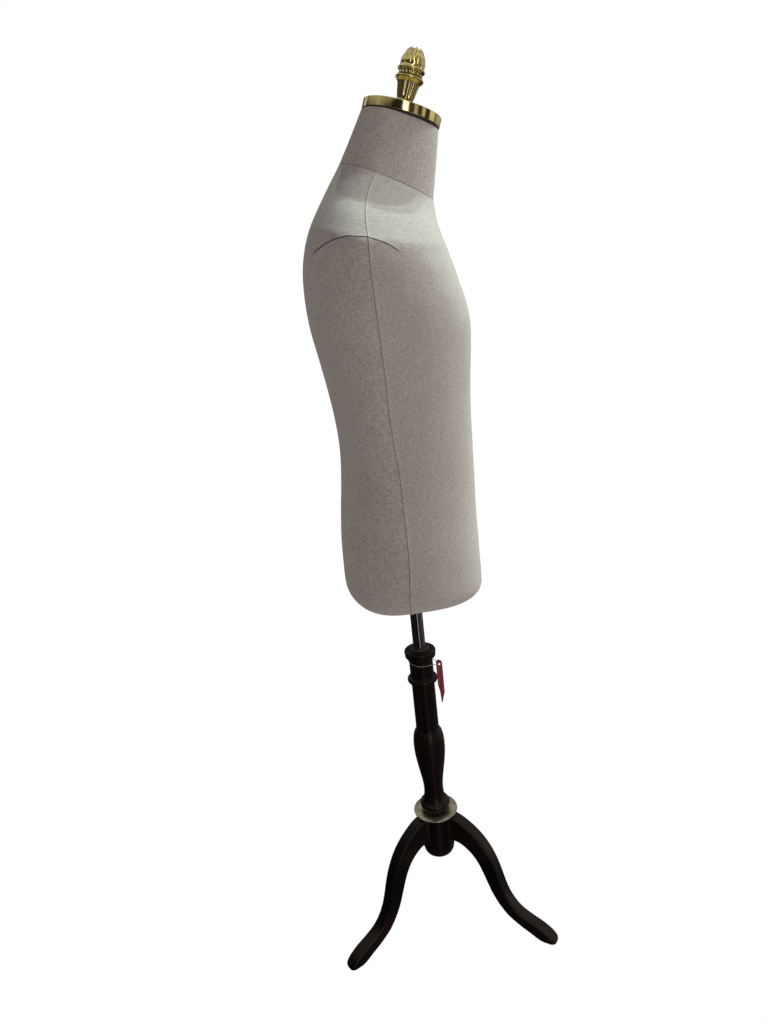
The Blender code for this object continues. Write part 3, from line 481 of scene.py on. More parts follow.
def on_section(section, angle):
    """Points on sections. Angle 0 is the front, 90 degrees the left side, 180 the back."""
    back, back_z, front, front_z, half, droop, square = np.moveaxis(section, -1, 0)
    seam = np.interp((back_z + front_z) / 2 - droop, SEAM_CURVE[:, 0], SEAM_CURVE[:, 1])
    along = np.sign(np.cos(angle)) * np.abs(np.cos(angle)) ** (2 / square)
    out = np.sign(np.sin(angle)) * np.abs(np.sin(angle)) ** (2 / square)
    forward = seam + np.where(along > 0, front - seam, seam - back) * along
    height = back_z + (front_z - back_z) * (forward - back) / (front - back) - droop * np.abs(out) ** 3
    return np.stack([half * out, -forward, height], -1)


def arc_station(forward, height):
    """Angle and station number where the left side passes a (forward, height) point, found step by step."""
    t = 7.0
    for _ in range(40):
        section = station_at(np.array([t]), NECK_ROWS, LAST)[0]
        seam = np.interp((section[1] + section[3]) / 2, SEAM_CURVE[:, 0], SEAM_CURVE[:, 1])
        reach = (section[2] - seam) if forward > seam else (seam - section[0])
        along = min(0.999, abs(forward - seam) / reach)
        angle = math.acos(math.copysign(along ** (section[6] / 2), forward - seam))
        t += 0.6 * (on_section(section, np.array(angle))[2] - height) / 0.018
        t = min(10.0, max(4.0, t))
    return angle, t


def arc_rows():
    """Angle by angle, the station along which the shoulder's sewn line runs."""
    found = sorted(arc_station(*point) for point in SHOULDER_ARC)
    level = 9.2
    ends = [(0.0, level), (found[0][0] - 0.42, level - 0.05), (found[0][0] - 0.16, found[0][1] + 0.42)]
    tail = [(min(3.02, found[-1][0] + 0.14), found[-1][1] + 0.3), (math.pi, level - 0.1)]
    return np.array(ends + found + tail), found[0][0], found[-1][0]


ARC_TABLE, ARC_FRONT, ARC_BACK = arc_rows()


def fold_angle(angle):
    """Any angle as the matching angle on the left side, 0 to 180 degrees."""
    full = np.mod(angle, 2 * math.pi)
    return np.where(full > math.pi, 2 * math.pi - full, full)


def step(value):
    share = np.clip(value, 0, 1)
    return share * share * (3 - 2 * share)


def grid_normals(points, wrap):
    down = np.gradient(points, axis=0)
    if wrap:
        across = np.roll(points, -1, 1) - np.roll(points, 1, 1)
    else:
        across = np.gradient(points, axis=1)
    normals = np.cross(down, across)
    return normals / np.maximum(np.linalg.norm(normals, axis=-1, keepdims=True), 1e-12)


def turned_under(points, pull, height):
    flat = points[..., :2]
    reach = np.linalg.norm(flat, axis=-1, keepdims=True)
    flat = flat * (reach - pull) / reach
    return np.concatenate([flat, np.full(flat.shape[:-1] + (1,), height)], -1)


def hem_rows(hip, angles, steps=11):
    """Rows from the hip section round the lower edge and in underneath."""
    facing = np.cos(angles)
    end = np.where(facing > 0, FRONT_CORNER, BACK_CORNER)
    radius = (SIDE_CORNER + (end - SIDE_CORNER) * facing ** 2)[:, None]
    tall = np.minimum(radius[:, 0], hip[:, 2] - TORSO_BOTTOM)
    rows = []
    for turn in np.linspace(0, math.pi / 2, steps + 1)[1:]:
        row = turned_under(hip, radius * (1 - math.cos(turn)), TORSO_BOTTOM)
        row[:, 2] += tall * (1 - math.sin(turn))
        row[:, 2] -= FRONT_DIP * np.maximum(0, -row[:, 1]) * turn / (math.pi / 2)
        rows.append(row)
    lip = turned_under(hip, LIP_REACH, TORSO_BOTTOM)
    for share in (0.35, 0.7, 1.0):
        rows.append(rows[steps - 1] + (lip - rows[steps - 1]) * share)
    return rows


def cloth_length(points, axis, zero):
    """Distance along rows or columns, counted from index zero, as the cloth's own thread count."""
    steps = np.linalg.norm(np.diff(points, axis=axis), axis=-1)
    total = np.concatenate([np.zeros_like(np.take(steps, [0], axis)), np.cumsum(steps, axis)], axis)
    return total - np.take(total, [zero], axis)


def store(mesh, name, kind, field, values):
    """Save values given for the outer skin as an attribute of both skins."""
    made = mesh.attributes.new(name, kind, "POINT")
    made.data.foreach_set(field, np.tile(values.ravel(), 2).astype(np.float32))


def grid_mesh(name, points, cloth, wrap, thickness=CLOTH, seam=None):
    """A closed cloth skin from a grid of outer points, with its thread coordinates and sewn lines."""
    normals = grid_normals(points, wrap)
    rows, columns = points.shape[:2]
    inner = points - normals * thickness
    verts = np.concatenate([points.reshape(-1, 3), inner.reshape(-1, 3)])
    layer = rows * columns
    faces = []
    for r in range(rows - 1):
        for c in range(columns if wrap else columns - 1):
            d = (c + 1) % columns
            quad = [r * columns + c, (r + 1) * columns + c, (r + 1) * columns + d, r * columns + d]
            faces.append(quad)
            faces.append([layer + i for i in reversed(quad)])
    rim = [[r * columns + c for c in range(columns)] for r in (0, rows - 1)]
    if not wrap:
        rim += [[r * columns + c for r in range(rows)] for c in (0, columns - 1)]
    for line in rim:
        pairs = zip(line, line[1:] + line[:1] if wrap else line[1:])
        faces += [[a, b, layer + b, layer + a] for a, b in pairs]
    mesh = mesh_from(name, verts.tolist(), faces, merge=None)
    store(mesh, "cloth", "FLOAT_VECTOR", "vector", cloth)
    store(mesh, "seam", "FLOAT", "value", np.zeros(points.shape[:2]) if seam is None else seam)
    return mesh


def stretch_over(name, mesh, stands_for):
    """Put a cloth in the scene."""
    piece = settle(name, mesh, "torso", "linen", (stands_for,), sharp=180)


# rows and columns of points stand this far from a seam
SEAM_STEPS = np.array((0.0, 0.0003, 0.0008, 0.0015, 0.0024, 0.0036, 0.0055))
# beside a side seam the angle is (distance / SIDE_SCALE) ** SIDE_POWER
SIDE_SCALE, SIDE_POWER = 0.135, 1.136
# metres of cloth in one step of the rows below the neck seam, and in one station above it
BELOW_NECK, ABOVE_NECK = 0.036, 0.045


def seam_profile(lip):
    """Height of the cloth at SEAM_STEPS from a seam: turned in at the edge, a rolled lip beside it."""
    return np.array((-0.0003, 0.35 * lip, 0.9 * lip, lip, 0.7 * lip, 0.3 * lip, 0.05 * lip))


def cover_grid(start, end, lip):
    """Points of a body cover between two side seams, from the neck seam to the hem underneath."""
    near = (SEAM_STEPS / SIDE_SCALE) ** SIDE_POWER
    inside = np.linspace(start + 0.055, end - 0.055, 92)
    angles = np.concatenate([start + near, inside, (end - near)[::-1]])
    arc_at = np.interp(fold_angle(angles), ARC_TABLE[:, 0], ARC_TABLE[:, 1])
    kernel = np.hanning(9)[1:-1]
    soft = np.convolve(np.pad(arc_at, 3, "edge"), kernel / kernel.sum(), "valid")
    on_arc = (fold_angle(angles) > ARC_FRONT) & (fold_angle(angles) < ARC_BACK)
    arc_at = np.where(on_arc, arc_at, soft)
    close = np.array((0.006, 0.004, 0.0026, 0.0016, 0.0009, 0.0004)) / STATION_SPACING
    high = np.concatenate([SEAM_STEPS / BELOW_NECK, np.linspace(0.22, 3.88, 26)])
    high = high / high[-1]
    table = [NECK_ROWS + (arc_at - close[0] - 0.1 - NECK_ROWS) * share for share in high]
    table += [arc_at + off for off in (*-close, 0.0, *close[::-1])]
    table += [arc_at + close[0] + (LAST - arc_at - close[0]) * share for share in np.linspace(0, 1, 96)[1:]]
    t = np.array(table)
    arc_row = len(high) + len(close)
    points = on_section(station_at(t, NECK_ROWS, LAST), np.broadcast_to(angles, t.shape))
    points = np.concatenate([points, np.array(hem_rows(points[-1], angles))])
    normals = grid_normals(points, False)
    rows, columns = points.shape[:2]
    lift = np.zeros((rows, columns))
    for k, height in enumerate(seam_profile(lip)):
        lift[:, k] += height
        lift[:, columns - 1 - k] += height
    for k, height in enumerate(seam_profile(0.0003)):
        lift[k] += height
    where = fold_angle(angles)
    strength = step((where - ARC_FRONT) / 0.05) * step((ARC_BACK - where) / 0.05)
    for k, height in enumerate((0.0, 0.00012, 0.00035, 0.0006, 0.0006, 0.0002)):
        lift[arc_row - len(close) + k] += height * strength
        lift[arc_row + len(close) - k] += 0.55 * height * strength
    lift[arc_row] -= 0.001 * strength
    points = points + normals * lift[..., None]
    cloth = np.zeros(points.shape)
    cloth[..., 0] = cloth_length(points, 1, columns // 2)
    cloth[..., 1] = cloth_length(points, 0, rows // 2).mean(1, keepdims=True)
    seam = np.zeros((rows, columns))
    for line, dark in ((seam[:, 0], 0.42), (seam[:, 1], 0.25), (seam[:, -1], 0.42), (seam[:, -2], 0.25),
                       (seam[:arc_row, 0], 0.8), (seam[:arc_row, -1], 0.8), (seam[0], 0.9), (seam[1], 0.5)):
        line[:] = dark
    for off, dark in ((-2, 0.65), (-1, 1.0), (0, 1.0), (1, 0.9), (2, 0.45)):
        seam[arc_row + off] = np.maximum(seam[arc_row + off], dark * strength)
    return points, cloth, seam


def build_covers():
    quarter = math.pi / 2
    for name, stands_for, start, lip in (("front_linen", "front_cover", -quarter, 0.0008),
                                         ("back_linen", "back_cover", quarter, 0.00022)):
        points, cloth, seam = cover_grid(start, start + 2 * quarter, lip)
        cloth[..., 2] = CUT_FROM[name]
        stretch_over(name, grid_mesh(name, points, cloth, False, seam=seam), stands_for)


def neck_points(count=140):
    angles = whole_turn(count) + math.pi
    t = np.concatenate([NECK_ROWS - SEAM_STEPS / ABOVE_NECK, np.linspace(1.8, 0.0, 22)])
    table = np.broadcast_to(t[:, None], (len(t), count))
    points = on_section(station_at(table, 0, NECK_ROWS), np.broadcast_to(angles, table.shape))
    return points[::-1]


def build_neck_linen():
    points = neck_points()
    normals = grid_normals(points, True)
    lift = np.zeros(points.shape[:2])
    for k, height in enumerate(seam_profile(0.0003)):
        lift[-1 - k] += height
    for k, height in enumerate((-0.0004, 0.00005, 0.0002, 0.0001)):   # the seam up the centre of the back
        lift[:, k] += height
        if k:
            lift[:, -k] += height
    points = points + normals * lift[..., None]
    rim = points[0]
    centre = rim.mean(0)
    up = np.array(Vector((0, -math.sin(math.radians(CAP_LEAN)), math.cos(math.radians(CAP_LEAN)))))
    fold = ((0.87, 0.0011), (0.925, 0.0011), (0.965, 0.0011), (0.985, 0.0009), (0.997, 0.0004))
    points = np.concatenate([[centre + (rim - centre) * share + up * rise for share, rise in fold], points])
    cloth = np.zeros(points.shape)
    cloth[..., 0] = cloth_length(points, 1, points.shape[1] // 2)
    cloth[..., 1] = cloth_length(points, 0, points.shape[0] - 1)
    cloth[..., 2] = CUT_FROM["neck_linen"]
    seam = np.zeros(points.shape[:2])
    seam[-1] = 1.0
    seam[:, 0] = 0.8
    mesh = grid_mesh("neck_linen", points, cloth, True, seam=seam)
    stretch_over("neck_linen", mesh, "neck_cover")


def build_torso_core():
    """The moulded shell under the cloth, closed smooth behind it."""
    count = 120
    angles = whole_turn(count)
    t = np.concatenate([np.linspace(0, 2, 9)[:-1], np.linspace(2, LAST, 88)])
    table = np.broadcast_to(t[:, None], (len(t), count))
    upper = on_section(station_at(table[:8], 0, NECK_ROWS), np.broadcast_to(angles, (8, count)))
    lower = on_section(station_at(table[8:], NECK_ROWS, LAST), np.broadcast_to(angles, table[8:].shape))
    points = np.concatenate([upper, lower, np.array(hem_rows(lower[-1], angles))])
    points = points - grid_normals(points, True) * (CLOTH + GAP)
    mesh = grid_mesh("torso_core", points, np.zeros(points.shape), True, 0.003)
    settle("torso_core", mesh, "torso", "shell", ("torso_shell",), sharp=60)


def build_base_linen():
    """The cloth under the torso, hemmed at its edge and cut round the pole's socket."""
    count = 140
    angles = whole_turn(count)
    hip = on_section(station_at(np.full(count, float(LAST)), NECK_ROWS, LAST), angles)
    outer = turned_under(hip, LIP_REACH + 0.0006, TORSO_BOTTOM)
    ring = (SOCKET_RADIUS + GAP) * np.stack([np.sin(angles), -np.cos(angles), np.zeros(count)], -1)
    rows = []
    for share, rise in ((0.0, 0.0006), (0.01, 0.0), (0.12, 0.0002), (0.35, 0.0002), (0.6, 0.0002),
                        (0.85, 0.0002), (0.97, 0.0), (0.985, -0.0003), (0.996, -0.0003), (1.0, 0.0004)):
        row = ring + (outer - ring) * share
        row[:, 2] = TORSO_BOTTOM + rise
        rows.append(row)
    points = np.array(rows)[::-1]
    cloth = points.copy()
    cloth[..., 2] = CUT_FROM["base_linen"]
    mesh = grid_mesh("base_linen", points, cloth, True)
    stretch_over("base_linen", mesh, "base_cover")


# ---------------------------------------------------------------- neck cap and finial
def finial_ripple(height, angles):
    """Flutes on the vase, a roped band between the rings and petals on the acorn."""
    if height < 0.035:
        depth = 0.095 * step((height - 0.0075) / 0.014)
        return 1 - depth * (0.5 - 0.5 * np.cos(12 * angles)) ** 1.5
    if 0.0445 < height < 0.0492:
        return 1 - 0.045 * (0.5 + 0.5 * np.cos(18 * angles + 900 * (height - 0.046)))
    if 0.056 < height < 0.08:
        tall = (height - 0.056) / 0.024
        groove = 1 - np.abs(np.cos(6 * angles + (0 if tall < 0.5 else math.pi / 2)))
        return 1 - 0.04 * step(tall / 0.15) * groove ** 2 - 0.03 * step((tall - 0.45) / 0.1) * groove
    return np.ones(len(angles))


def build_neck_cap():
    forward, height = NECK_CENTRE
    lean = Matrix.Translation((0, -forward, height)) @ Matrix.Rotation(math.radians(CAP_LEAN), 4, "X")
    low = GAP + 0.001
    gasket_top = low + GASKET_HEIGHT
    seal = [(STUD_HOLE, low), (CAP_RADIUS - 0.0031, low)]
    seal += arc((CAP_RADIUS - 0.0028, (low + gasket_top) / 2), GASKET_HEIGHT / 2, -80, 80, 8)
    seal += [(CAP_RADIUS - 0.0031, gasket_top), (STUD_HOLE, gasket_top)]
    turned("gasket", seal, 144, True, "torso", "black_plastic", "neck_gasket", lean)
    rim = gasket_top + GAP
    top = rim + CAP_HEIGHT
    inside, roof = CAP_RADIUS - CAP_WALL, top - CAP_WALL
    shell = [(inside, rim), (CAP_RADIUS - 0.0003, rim), (CAP_RADIUS, rim + 0.0003)]
    shell += arc((CAP_RADIUS - 0.0009, top - 0.0009), 0.0009, 0, 90, 6)
    shell += [(CAP_RADIUS * share, top) for share in (0.93, 0.75, 0.5, 0.25)]
    shell += [(STUD_HOLE, top), (STUD_HOLE, roof), (inside, roof)]
    turned("brass_cap", shell, 160, True, "torso", "gold", "neck_cap", lean)
    build_finial(lean, top + GAP)


def build_finial(lean, seat):
    """The finial, its outline measured from the seat on the cap, with a crown of leaves on its acorn."""
    foot = [(0.0112, 0), (0.012, 0.0003), (0.0124, 0.001), (0.0119, 0.0018), (0.0098, 0.0028),
            (0.0084, 0.0042)]
    vase = smooth_line([(0.0083, 0.0055), (0.0094, 0.008), (0.0117, 0.0116), (0.0131, 0.0165),
                        (0.0144, 0.0235), (0.0158, 0.031), (0.0166, 0.0348)], 5)
    lower = [(0.0174, 0.0352)] + arc((0.019, 0.0402), 0.0022, -60, 60, 8)
    lower += [(0.0182, 0.0424), (0.0176, 0.0434)] + arc((0.0179, 0.0442), 0.0008, -70, 70, 4)
    band = [(0.0174, height) for height in (0.045, 0.0458, 0.047, 0.0482)] + [(0.0175, 0.0492)]
    upper = arc((0.0184, 0.0522), 0.002, -70, 70, 8) + [(0.0182, 0.0545), (0.018, 0.0556)]
    acorn = smooth_line([(0.0178, 0.0565), (0.0183, 0.0605), (0.0179, 0.0645), (0.0168, 0.0685),
                         (0.015, 0.0723), (0.0125, 0.0758)], 6)
    crown = [(0.0108, 0.0762), (0.01, 0.0775), (0.0085, 0.079), (0.006, 0.0797), (0.003, 0.08),
             (0, 0.0801)]
    body = foot + vase + lower + band + upper + acorn + crown
    hole = [(0, seat + 0.014), (STUD_HOLE, seat + 0.014), (STUD_HOLE, seat)]
    outline = hole + [(radius, z + seat) for radius, z in body]

    def ripple(z, angles):
        return finial_ripple(z - seat, angles) if z > seat + 1e-6 else np.ones(len(angles))

    turned("brass_finial", outline, 144, False, "torso", "gold", "finial", lean, 28, ripple)
    leaf = crown_leaf()
    for number in range(8):
        place = lean @ Matrix.Translation((0, 0, seat + 0.0745)) @ turn_z(45 * number)
        settle(f"finial_leaf_{number + 1}", leaf.copy(), "torso", "gold", (), place, 60, "gold")


def crown_leaf():
    """One short pointed leaf of the crown: a thick petal that bends outward at its tip."""
    spine = ((0.0122, 0.0), (0.0117, 0.0018), (0.0105, 0.0036), (0.009, 0.0052), (0.008, 0.0066))
    widths = (0.0034, 0.0036, 0.003, 0.0019, 0.0003)
    section = ((-1, 0.0), (-0.5, 0.0007), (0, 0.0011), (0.5, 0.0007), (1, 0.0), (0, -0.0012))
    points = [(reach + lift, side * width, z + 0.25 * lift)
              for (reach, z), width in zip(spine, widths) for side, lift in section]
    sides, count = len(section), len(points)
    faces = [[a, d, c, b] for a, b, c, d in tube_faces(len(spine), sides)]
    faces += [list(range(sides)), list(range(count - sides, count))[::-1]]
    return mesh_from("leaf", points, faces)


# ---------------------------------------------------------------- pole
def build_pole():
    inner = TUBE_RADIUS - TUBE_WALL
    heights = (TUBE_BOTTOM + 0.0003, 0.58, 0.65, 0.74, TUBE_TOP - 0.0003)
    outline = [(inner, TUBE_BOTTOM), (TUBE_RADIUS - 0.0003, TUBE_BOTTOM)]
    outline += [(TUBE_RADIUS, height) for height in heights]
    outline += [(TUBE_RADIUS - 0.0003, TUBE_TOP), (inner, TUBE_TOP)]
    turned("chrome_tube", outline, 96, True, "pole", "chrome", "height_tube")
    flange_top = TORSO_BOTTOM + 0.0002 - GAP
    low = flange_top - FLANGE_THICKNESS
    bore, roof = TUBE_RADIUS + TUBE_FIT, TUBE_TOP + 0.004 + GAP
    outline = [(0, roof), (bore, roof), (bore, low + 0.0006), (bore + 0.0005, low),
               (FLANGE_RADIUS - 0.0014, low)]
    outline += arc((FLANGE_RADIUS - 0.0012, low + 0.0012), 0.0012, -80, 0, 5)
    outline += [(FLANGE_RADIUS, flange_top), (SOCKET_RADIUS, flange_top), (SOCKET_RADIUS, roof + 0.003),
                (0, roof + 0.003)]
    socket = turned("steel_socket", outline, 96, False, "torso", "steel", "pole_socket")
    for number in range(4):
        place = turn_z(45 + 90 * number) @ Matrix.Translation((0.027, 0, 0))
        drilled(socket, 0.0024, low - 0.003, 0.74, place, 24)
        build_screw(number, place, low - GAP)


def build_screw(number, place, seat):
    """A pan-head wood screw, head down, with a cross recess."""
    head = [(0, seat - 0.0022)] + [(0.0042 * math.sin(a), seat - 0.0022 + 0.0016 * (1 - math.cos(a)))
                                   for a in np.linspace(0.15, math.pi / 2, 8)]
    outline = head + [(0.0042, seat), (0.0021, seat)]
    for turn in range(12):
        z = seat + 0.0012 + turn * 0.001
        outline += [(0.0021, z), (0.0017, z + 0.0005)]
    outline += [(0.0012, 0.739), (0, 0.7408)]
    piece = turned(f"wood_screw_{number + 1}", outline, 32, False, "torso", "steel",
                   f"socket_screw_{number + 1}", place, 40)
    for angle in (20 + 37 * number, 110 + 37 * number):
        bar = [(x, y, z) for x in (-0.0023, 0.0023) for y in (-0.00045, 0.00045)
               for z in (seat - 0.004, seat - 0.0012)]
        faces = [(0, 1, 3, 2), (4, 6, 7, 5), (0, 4, 5, 1), (2, 3, 7, 6), (0, 2, 6, 4), (1, 5, 7, 3)]
        carved(piece, mesh_from("bar", bar, faces), place @ turn_z(angle))


# ---------------------------------------------------------------- column, hub and ring
# the bolt and the dowel of each leg: (radius of the hole, height, inner end in the hub, outer end in the leg)
LEG_FIXINGS = ((0.0033, 0.218, 0.0117, 0.0583), (0.0043, 0.199, 0.0157, 0.0483))


def column_outline():
    foot = [(0, TENON_BOTTOM), (TENON_RADIUS, TENON_BOTTOM), (TENON_RADIUS, COLUMN_FOOT),
            (0.0226, COLUMN_FOOT)]
    foot += smooth_line([(0.0229, 0.25), (0.024, 0.2512), (0.0258, 0.2538), (0.0272, 0.2574),
                         (0.0282, 0.2612)], 3)
    foot += arc((0.0225, 0.263), 0.0058, -8, 60, 9)
    vase = smooth_line([(0.0228, 0.2712), (0.0204, 0.2762), (0.0187, 0.286), (0.0183, 0.299),
                        (0.0196, 0.315), (0.0226, 0.334), (0.0261, 0.356), (0.0285, 0.376),
                        (0.0291, 0.392), (0.0283, 0.4075), (0.0262, 0.4185), (0.0236, 0.424)], 5)
    shaft = [(0.0226, 0.4252), (0.0218, 0.4263), (0.0213, 0.4285), (0.0211, 0.433)]
    shaft += [(0.0211 - 0.0002 * share, 0.433 + 0.089 * share) for share in (0.25, 0.5, 0.75, 1.0)]
    shaft += [(0.0211, 0.5245), (0.0216, 0.5256)]
    bead = arc((0.0221, 0.5315), 0.0053, -70, 70, 14)
    neck = [(0.0222, 0.5372), (0.0216, 0.5382)]
    neck += [(NECK_RADIUS, height) for height in (0.54, 0.548, 0.562, 0.5725)]
    neck += [(0.0217, 0.5737), (0.0226, 0.5745)]
    flange = arc((0.0232, 0.58), 0.0045, -58, -5, 7) + arc((0.0243, 0.5868), 0.0041, -35, 75, 12)
    flange += [(0.0246, COLUMN_TOP - 0.0008), (0.0225, COLUMN_TOP - 0.0013), (0.0185, COLUMN_TOP - 0.0012),
               (0.0172, COLUMN_TOP - 0.0005), (BUSH_RADIUS + GAP, COLUMN_TOP - 0.0002)]
    seat_floor = COLUMN_TOP - BUSH_DEPTH - GAP
    bore = [(BUSH_RADIUS + GAP, seat_floor), (BORE_RADIUS, seat_floor), (BORE_RADIUS, BORE_FLOOR),
            (0, BORE_FLOOR)]
    return foot + vase + shaft + bead + neck + flange + bore


def build_column():
    column = turned("turned_column", column_outline(), 128, False, "stand", "wood", "column", sharp=40)
    drilled(column, 0.0073, 0.2, 0.272, Matrix(), 32)
    drilled(column, 0.0063, 0.008, 0.03, radial_frame(CLAMP_ANGLE, CLAMP_HEIGHT), 32)
    inner = TUBE_RADIUS + TUBE_FIT
    bush = [(inner, -BUSH_DEPTH), (BUSH_RADIUS, -BUSH_DEPTH), (BUSH_RADIUS, GAP), (0.0162, GAP),
            (0.0165, 0.0006), (0.0164, 0.0014), (0.0158, 0.002), (0.0135, 0.0022), (0.0122, 0.0018),
            (inner, 0.001)]
    bush = [(radius, COLUMN_TOP + height) for radius, height in bush]
    turned("mouth_bush", bush, 96, True, "stand", "black_plastic", "column_bush")


def build_hub():
    seat, bore, socket = HUB_BOTTOM + 0.012, 0.0046, TENON_RADIUS + GAP
    hub = [(bore, seat), (0.0125, seat), (0.0125, HUB_BOTTOM + 0.0005), (0.013, HUB_BOTTOM),
           (0.016, HUB_BOTTOM)]
    bowl = ((0.0178, 0.0002), (0.02, 0.0008), (0.023, 0.0024), (0.026, 0.0054), (0.0283, 0.0096),
            (0.0298, 0.0155), (HUB_RADIUS, 0.022))
    hub += smooth_line([(radius, HUB_BOTTOM + height) for radius, height in bowl], 3)
    hub += [(HUB_RADIUS, height) for height in (0.19, 0.22, HUB_TOP - 0.0004)]
    hub += [(HUB_RADIUS - 0.0004, HUB_TOP), (socket, HUB_TOP), (socket, TENON_BOTTOM - GAP),
            (bore, TENON_BOTTOM - GAP)]
    block = turned("turned_hub", hub, 112, True, "stand", "wood", "hub")
    for angle in LEG_ANGLES:
        for radius, height, inner_end, _ in LEG_FIXINGS:
            drilled(block, radius, inner_end, 0.04, radial_frame(angle, height))


def build_ring():
    bottom = HUB_TOP + GAP
    top = bottom + RING_THICKNESS
    ring = [(TENON_RADIUS + GAP, bottom), (HUB_RADIUS + 0.004, bottom),
            (RING_RADIUS - 0.0018, bottom + 0.0026)]
    ring += arc((RING_RADIUS - 0.0012, bottom + 0.0038), 0.0012, -75, 60, 8)
    ring += [(0.0396, top - 0.001), (0.038, top - 0.0007), (0.035, top - 0.0004), (0.0315, top - 0.0002),
             (0.0262, top - 0.0001), (0.0228, top), (TENON_RADIUS + GAP, top)]
    turned("brass_ring", ring, 128, True, "stand", "old_brass", "base_ring")


# a leg's upper and lower edge from the hub to the toe: (distance from the pole's axis, height)
LEG_TOP = ((0.026, 0.2425), (0.04, 0.2405), (0.056, 0.2325), (0.077, 0.2165), (0.0935, 0.1985),
           (0.106, 0.179), (0.1155, 0.158), (0.1225, 0.137), (0.1285, 0.115), (0.1355, 0.093), (0.146, 0.073),
           (0.16, 0.057), (0.18, 0.0445), (0.201, 0.034), (0.2175, 0.0225), (0.2265, 0.012),
           (0.229, 0.0072))
LEG_UNDER = ((0.026, 0.191), (0.05, 0.186), (0.07, 0.171), (0.084, 0.151), (0.0935, 0.129), (0.1015, 0.107),
             (0.11, 0.086), (0.122, 0.065), (0.138, 0.045), (0.159, 0.029), (0.18, 0.0165), (0.194, 0.008),
             (0.204, 0.0042), (0.216, 0.004), (0.2265, 0.0041))


def spread(line, shares):
    """Points at given shares of a line's length."""
    points = np.array(smooth_line(line, 8))
    along = np.concatenate([[0], np.cumsum(np.linalg.norm(np.diff(points, axis=0), axis=1))])
    wanted = along[-1] * shares
    return np.stack([np.interp(wanted, along, points[:, 0]), np.interp(wanted, along, points[:, 1])], -1)


def build_leg(number, angle):
    """A leg sawn from a board and rounded over along its edges, lofted from the hub to its toe."""
    corner_steps, half, toe = 5, 0.013, 0.01
    shares = np.concatenate([np.linspace(0, 0.96, 78), 1 - 0.04 * (1 - np.linspace(0, 1, 13)[1:]) ** 1.6])
    tops, unders, count = spread(LEG_TOP, shares), spread(LEG_UNDER, shares), len(shares)
    points, ring = [], 4 * (corner_steps + 1)
    for index, (top, under) in enumerate(zip(tops, unders)):
        span = top - under
        length = np.linalg.norm(span)
        blunt = max(0.0, 1 - (1 - shares[index]) * 0.3 / toe)
        width = half - 0.9 * toe * (1 - math.sqrt(1 - blunt * blunt))
        radius = min(0.0052, 0.42 * length, 0.9 * width)
        for quadrant, (side, end) in enumerate(((1, 1), (-1, 1), (-1, -1), (1, -1))):
            for turn in range(corner_steps + 1):
                degrees = 90 * quadrant + 90 * turn / corner_steps
                y = side * (width - radius) + radius * math.cos(math.radians(degrees))
                along = length / 2 + end * (length / 2 - radius) + radius * math.sin(math.radians(degrees))
                x, z = under + span / length * along
                if index == 0:
                    x = math.sqrt((HUB_RADIUS + GAP) ** 2 - y * y)
                points.append((x, y, z))
    inside = sum(1 for top in tops[1:] if top[0] < HUB_RADIUS + 0.004)
    del points[ring:(1 + inside) * ring]
    rings = count - inside
    ends = [list(range(ring))[::-1], list(range((rings - 1) * ring, rings * ring))]
    mesh = mesh_from("leg", points, tube_faces(rings, ring) + ends)
    place = turn_z(angle)
    leg = settle(f"sawn_leg_{number}", mesh, "stand", "leg_wood", (f"leg_{number}",), place, 50)
    for radius, height, _, outer_end in LEG_FIXINGS:
        drilled(leg, radius, 0.02, outer_end, radial_frame(angle, height))
    glide = [(0, 0), (0.0062, 0)] + arc((0.0066, 0.0019), 0.0019, -90, 40, 7)
    glide += [(0.0082, 0.0035), (0, 0.0035)]
    turned(f"glide_{number}", glide, 48, False, "stand", "black_plastic", f"foot_glide_{number}",
           place @ Matrix.Translation((0.2155, 0, 0)), 45)


# ---------------------------------------------------------------- clamp and tag
def build_clamp():
    place = radial_frame(CLAMP_ANGLE, CLAMP_HEIGHT)
    knob = [(0, 0.0423), (SCREW_RADIUS + GAP, 0.0423), (SCREW_RADIUS + GAP, 0.027), (0.007, 0.027),
            (0.0078, 0.0274), (0.008, 0.029), (0.0084, 0.03), (0.0108, 0.0306), (0.0122, 0.0314),
            (0.0129, 0.0328), (0.0131, 0.035), (0.0131, 0.04), (0.0129, 0.042), (0.012, 0.0436),
            (0.0104, 0.0446), (0.008, 0.0451), (0.006, 0.0449), (0.005, 0.0446), (0, 0.0446)]

    def lobes(height, angles):
        if height < 0.0302 or height > 0.0447:
            return np.ones(len(angles))
        return 1 - 0.15 * (0.5 - 0.5 * np.cos(7 * angles)) ** 1.4

    turned("lobed_knob", knob, 112, False, "knob", "black_plastic", "clamp_knob", place, 38, lobes)
    shank, length = [], 0.042 - 0.0143
    for turn in range(40):
        z = 0.0147 + turn * length / 41
        shank += [(SCREW_RADIUS, z), (SCREW_RADIUS - 0.0005, z + length / 82)]
    outline = [(0, 0.0143), (SCREW_RADIUS - 0.0006, 0.0143)] + shank
    outline += [(SCREW_RADIUS - 0.0004, 0.042), (0, 0.042)]
    turned("threaded_shank", outline, 40, False, "clamp", "steel", "clamp_screw", place)
    wall = NECK_RADIUS + GAP
    insert = [(0.0043, 0.015), (0.0058, 0.015), (0.006, 0.0152)]
    rim = ((0.006, 0), (0.0076, 0), (0.0078, 0.0004), (0.0074, 0.001), (0.006, 0.0011), (0.0046, 0.001),
           (0.0043, 0.0007))
    insert += [(radius, wall + height) for radius, height in rim]
    turned("brass_insert", insert, 48, True, "stand", "insert_brass", "clamp_insert", place)


